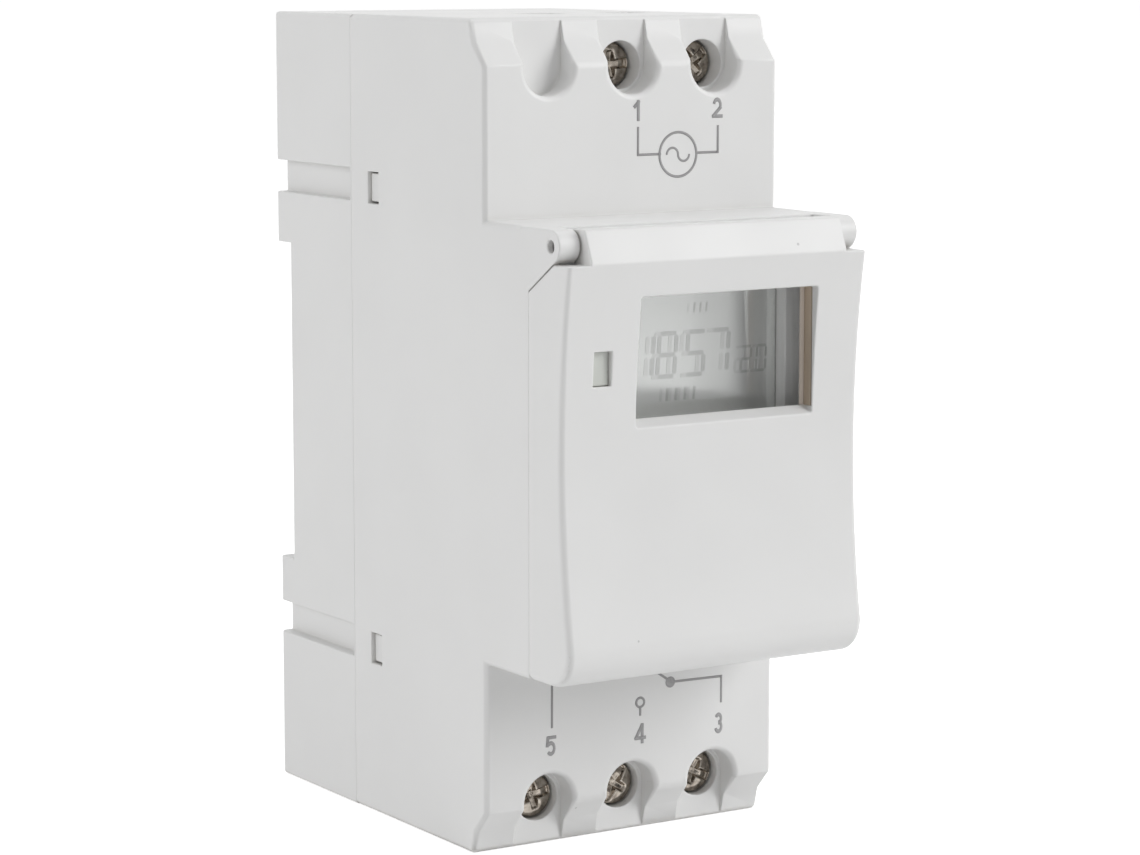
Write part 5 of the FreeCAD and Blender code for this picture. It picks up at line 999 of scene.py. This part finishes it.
# %% [markdown]
# A narrow brown band shows at the right of the window, pale where it is a thin film on
# the pane and darker as a bead on the jamb. It could be a colour painted on the pane, but
# a thin film and a bead catch the light as solids do.

# %% Brown band at the pane
BAND_FILM_FINISH = even_coat("pale brown film", (0.70, 0.62, 0.55), (0.3, 0.5), tone=0.12)
BAND_BEAD_FINISH = even_coat("dark brown bead", (0.52, 0.42, 0.32), (0.3, 0.5), tone=0.25)
PANE_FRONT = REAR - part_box("flap_window_pane")[0][1] / MM
BAND_LOW, BAND_HIGH = WINDOW[2] + 0.4, WINDOW[3] + 0.3
BAND_EDGE = WINDOW[1] - 0.01
FILM_LEFT, FILM_BACK, FILM_FRONT = 11.55, 0.005, 0.05
BEAD_ROUND = 0.02


def slab(shape, low, high):
    """A box between two corners, each (across, forward, height) in mm."""
    first, last = spot(*low), spot(*high)
    size = [abs(one - other) for one, other in zip(first, last)]
    place = Matrix.Translation((first + last) / 2)
    bmesh.ops.create_cube(shape, size=1.0, matrix=place @ Matrix.Diagonal((*size, 1.0)))


def soften(shape, radius):
    """Cut every sharp edge of a bmesh back by a small flat."""
    sharp = [side for side in shape.edges if side.is_manifold and side.calc_face_angle() > SHARP]
    bmesh.ops.bevel(
        shape, geom=sharp, offset=radius * MM, offset_type="OFFSET", affect="EDGES",
        segments=1, profile=0.5, material=-1, clamp_overlap=False, loop_slide=True,
    )


def band_piece(name, shape, material, radius=0.0):
    """Show a brown solid on the flap, with its sharp edges cut back."""
    if radius:
        soften(shape, radius)
    bmesh.ops.recalc_face_normals(shape, faces=shape.faces)
    shade_by_angle(shape)
    return to_object(name, shape, "flap", material)


film = bmesh.new()
slab(
    film, (FILM_LEFT, PANE_FRONT + FILM_BACK, BAND_LOW), (BAND_EDGE, PANE_FRONT + FILM_FRONT, BAND_HIGH)
)
band_piece("pane_brown_film", film, BAND_FILM_FINISH)

bead = bmesh.new()
section = [
    (12.1, PANE_FRONT + 0.06), (BAND_EDGE, PANE_FRONT + 0.06),
    (BAND_EDGE, PANE_FRONT + 1.2), (12.2, PANE_FRONT + 0.8),
]
foot_face = bead.faces.new([bead.verts.new(spot(*corner, BAND_LOW)) for corner in section])
raised = bmesh.ops.extrude_face_region(bead, geom=[foot_face])["geom"]
top = [part for part in raised if isinstance(part, bmesh.types.BMVert)]
bmesh.ops.translate(bead, verts=top, vec=(0.0, 0.0, (BAND_HIGH - BAND_LOW) * MM))
band_piece("pane_brown_bead", bead, BAND_BEAD_FINISH, BEAD_ROUND)
print("glue beads made")

# %% [markdown]
# The wiring plan is printed on the case: the terminal numbers, the mains source between
# 1 and 2, and the changeover contact of 3, 4 and 5. Ink stands a few hundredths of a
# millimetre proud, so each stroke is a thin plate with its back in the wall.

# %% Ink strokes
INK_THICK = 0.03
INK_STEP = 0.003


def ink_depth(layer):
    """Thickness of an ink plate in m; each layer stands a little proud of the last."""
    return (INK_THICK + 2 * layer * INK_STEP) * MM


def stroke(shape, start, end, width, forward, layer=0):
    """A thin plate from start to end, both (across, height) in mm; a layer lies over the last."""
    run = Vector(end) - Vector(start)
    middle = (Vector(end) + Vector(start)) / 2
    angle = math.atan2(run.y, run.x)
    grow = Matrix.Diagonal(((run.length + width) * MM, width * MM, ink_depth(layer), 1.0))
    bmesh.ops.create_cube(shape, size=1.0, matrix=wall_matrix(middle.x, forward, middle.y, angle) @ grow)


def arc(shape, centre, radius, width, start, sweep, steps, forward, layer=0):
    """A thin plate bent to an arc, by spinning the plate's section round the centre."""
    across = Vector((math.cos(start), math.sin(start)))
    middle = Vector(centre) + radius * across
    section = bmesh.ops.create_grid(
        shape, x_segments=1, y_segments=1, size=0.5,
        matrix=wall_matrix(middle.x, forward, middle.y, start)
        @ Matrix.Diagonal((width * MM, 1.0, ink_depth(layer), 1.0))
        @ Matrix.Rotation(math.pi / 2, 4, "X"),
    )
    faces = list({face for vert in section["verts"] for face in vert.link_faces})
    edges = list({side for vert in section["verts"] for side in vert.link_edges})
    closed = abs(sweep) >= 2 * math.pi - 0.001
    geometry = section["verts"] + edges + ([] if closed else faces)
    if closed:
        bmesh.ops.delete(shape, geom=faces, context="FACES_ONLY")
    bmesh.ops.spin(
        shape, geom=geometry, cent=spot(centre[0], forward, centre[1]), axis=(0.0, -1.0, 0.0),
        angle=sweep, steps=steps, use_merge=closed, use_duplicate=False,
    )


# %% [markdown]
# The terminal numbers are drawn in a box of one by one, as strokes and as arcs with a
# centre, a radius, a start and a sweep, and are then stretched to their size. A font could
# print them too, but strokes give the even line of a print mask.

# %% Terminal numbers
NUMERAL_WIDE, NUMERAL_TALL, NUMERAL_LINE = 1.3, 1.8, 0.36
BOW_STEPS = 14
FIGURES = {
    "1": ([((0.62, 0.0), (0.62, 1.0)), ((0.62, 0.98), (0.30, 0.74))], []),
    "2": ([((0.14, 0.04), (0.90, 0.04)), ((0.16, 0.08), (0.78, 0.52))],
          [((0.5, 0.68), 0.32, -0.6, 3.5)]),
    "3": ([], [((0.48, 0.745), 0.255, -1.57, 4.3), ((0.48, 0.255), 0.285, -2.9, 4.5)]),
    "4": ([((0.70, 0.0), (0.70, 1.0)), ((0.66, 0.98), (0.10, 0.26)),
           ((0.10, 0.24), (0.92, 0.24))], []),
    "5": ([((0.22, 0.97), (0.84, 0.97)), ((0.20, 0.95), (0.14, 0.52))],
          [((0.47, 0.32), 0.32, -2.5, 4.9)]),
}


def numeral(shape, text, centre, forward):
    """A plain upright figure, centred on (across, height) in mm."""
    lines, bows = FIGURES[text]
    corner = Vector((centre[0] - NUMERAL_WIDE / 2, centre[1] - NUMERAL_TALL / 2))
    for layer, ends in enumerate(lines):
        first, last = (corner + Vector((right * NUMERAL_WIDE, up * NUMERAL_TALL)) for right, up in ends)
        stroke(shape, first, last, NUMERAL_LINE, forward, layer)
    shape.verts.ensure_lookup_table()
    start = len(shape.verts)
    line = 2 * NUMERAL_LINE / (NUMERAL_WIDE + NUMERAL_TALL)
    for bow, (middle, radius, begin, sweep) in enumerate(bows):
        arc(shape, middle, radius, line, begin, sweep, BOW_STEPS, forward, len(lines) + bow)
    shape.verts.ensure_lookup_table()
    new = shape.verts[start:]
    home = Matrix.Translation(spot(0.5, 0.0, 0.5) - spot(0.0, 0.0, 0.0)).inverted()
    size = Matrix.Diagonal((NUMERAL_WIDE, 1.0, NUMERAL_TALL, 1.0))
    place = Matrix.Translation((centre[0] * MM, 0.0, centre[1] * MM))
    bmesh.ops.transform(shape, verts=new, matrix=place @ size @ home)


def finish_ink(name, shape, material):
    """Weld the loose plates, turn their faces outward and show them on the case."""
    bmesh.ops.remove_doubles(shape, verts=shape.verts, dist=WELD)
    bmesh.ops.recalc_face_normals(shape, faces=shape.faces)
    data = bpy.data.meshes.new(name)
    shape.to_mesh(data)
    shape.free()
    return show(name, data, "case", material)


print("numbers:", sorted(FIGURES))

# %% [markdown]
# The upper plan shows a circle with a sine wave, the sign for an alternating supply, with
# a lead to terminal 1 and one to terminal 2. The lower one shows the contact arm, which
# goes up under the flap, its two contacts and the lead from terminal 5.

# %% Print the wiring plans
LINE = 0.26
LEADS = [
    ((0.48, 74.6), (0.48, 71.85)), ((0.48, 71.85), (3.2, 71.85)),
    ((10.45, 74.5), (10.45, 71.85)), ((10.45, 71.85), (7.75, 71.85)),
    ((-10.0, 13.0), (-10.0, 20.6)), ((0.95, 13.0), (0.95, 13.75)),
    ((11.3, 13.2), (11.3, 15.95)), ((11.3, 15.95), (5.0, 16.05)), ((4.6, 16.25), (2.6, 17.6)),
]
RINGS = [
    ((5.45, 71.75), 2.3, LINE, 48), ((0.95, 14.3), 0.5, LINE, 20), ((4.75, 16.05), 0.3, 0.6, 16),
]
WAVE_MIDDLE, WAVE_HALF, WAVE_LINE = (5.45, 71.75), 0.7, 0.24
NUMBER_PLACES = {
    "1": (0.35, 76.4), "2": (10.35, 76.4),
    "3": (11.0, 10.9), "4": (0.95, 10.95), "5": (-10.1, 11.05),
}
LAYERS = 3

plan = bmesh.new()
for number, (start, end) in enumerate(LEADS):
    stroke(plan, start, end, LINE, SHOULDER, number % LAYERS)
for centre, radius, line, steps in RINGS:
    arc(plan, centre, radius, line, 0.0, 2 * math.pi, steps, SHOULDER, LAYERS)
for side, start in ((-1.0, 0.0), (1.0, math.pi)):
    centre = (WAVE_MIDDLE[0] + side * WAVE_HALF, WAVE_MIDDLE[1])
    arc(plan, centre, WAVE_HALF, WAVE_LINE, start, math.pi, BOW_STEPS, SHOULDER)
for text, centre in NUMBER_PLACES.items():
    numeral(plan, text, centre, SHOULDER)
printed = finish_ink("terminal_printing", plan, INK)
print("printing:", len(printed.data.polygons), "faces")

# %% [markdown]
# A seven-segment figure is seven long hexagons. Each is a circle of six corners, pulled
# apart along its length and given a little thickness. The figures lean a few degrees, as
# on most displays. The reflector lies a little behind them and would show a pale shadow of
# each, so a second, lighter set stands to the left as a painted shadow.

# %% Display figures
FIGURE_FOOT = 49.7
BIG = (2.6, 4.9, 0.27)
LITTLE = (1.5, 2.9, 0.17)
SHOWN = [
    ("1", -5.9, BIG), ("8", -3.15, BIG), ("5", 0.35, BIG), ("7", 3.3, BIG),
    ("2", 7.2, LITTLE), ("0", 9.1, LITTLE),
]
TICKS = [(3, 1.6, 0.75, 56.4, 57.2, 0.2), (4, -1.7, 1.1, 47.6, 48.6, 0.3)]
TICK_LEAN = 0.1
SHADOW_SHIFT = -0.75
LAYER_LIFT = 0.004
SEGMENT_GAP = 0.25
GLASS_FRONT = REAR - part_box("lcd_glass")[0][1] / MM
LEAN = 0.07
SEGMENTS = {
    "a": (0.5, 1.0, True), "b": (1.0, 0.75, False), "c": (1.0, 0.25, False), "d": (0.5, 0.0, True),
    "e": (0.0, 0.25, False), "f": (0.0, 0.75, False), "g": (0.5, 0.5, True),
}
LIT = {"0": "abcdef", "1": "bc", "2": "abdeg", "5": "acdfg", "7": "abc", "8": "abcdefg"}


def segment(shape, across, height, length, half, lying):
    """One long hexagon on the front of the glass."""
    stretch = max(length / 2 - half, 0.01)
    made = bmesh.ops.create_circle(shape, cap_ends=True, segments=6, radius=half)["verts"]
    for sign in (-1.0, 1.0):
        side = [vert for vert in made if vert.co.y * sign > 0.0]
        bmesh.ops.translate(shape, verts=side, vec=(0.0, sign * stretch, 0.0))
    faces = list({face for vert in made for face in vert.link_faces})
    raised = bmesh.ops.extrude_face_region(shape, geom=faces)["geom"]
    top = [part for part in raised if isinstance(part, bmesh.types.BMVert)]
    bmesh.ops.translate(shape, verts=top, vec=(0.0, 0.0, INK_THICK))
    turn = Matrix.Rotation(math.pi / 2 if lying else 0.0, 4, "Z")
    slant = Matrix.Identity(4)
    slant[0][1] = LEAN
    place = wall_matrix(across, GLASS_FRONT, height)
    size = Matrix.Diagonal((MM, MM, MM, 1.0))
    bmesh.ops.transform(shape, verts=made + top, matrix=place @ size @ slant @ turn)


def figure(shape, text, left, wide, tall, half):
    """One leaning figure, its left edge and sizes in mm."""
    for name in LIT[text]:
        right, up, lying = SEGMENTS[name]
        length = (wide if lying else tall / 2) - (SEGMENT_GAP + 2) * half
        across = left + half + right * (wide - 2 * half) + LEAN * (up * tall)
        height = FIGURE_FOOT + half + up * (tall - 2 * half)
        segment(shape, across, height, length, half, lying)


def all_figures(name, material, shift, layer):
    """Every figure of the display, shifted to the right by some millimetres."""
    figures = bmesh.new()
    for text, left, size in SHOWN:
        figure(figures, text, left + shift, *size)
    for count, first, step, low, high, line in TICKS:
        for number in range(count):
            across = first + step * number + shift
            stroke(figures, (across, low), (across + TICK_LEAN, high), line, GLASS_FRONT, layer)
    bmesh.ops.translate(figures, verts=figures.verts, vec=(0.0, -layer * LAYER_LIFT * MM, 0.0))
    return finish_ink(name, figures, material)


# The lighter set is a painted shadow of the figures on the reflector.
all_figures("figure_shadows", SEGMENT_SHADOW, SHADOW_SHIFT, 0)
shown = all_figures("display_figures", SEGMENT, 0.0, 1)
print("figures:", len(shown.data.polygons), "faces")
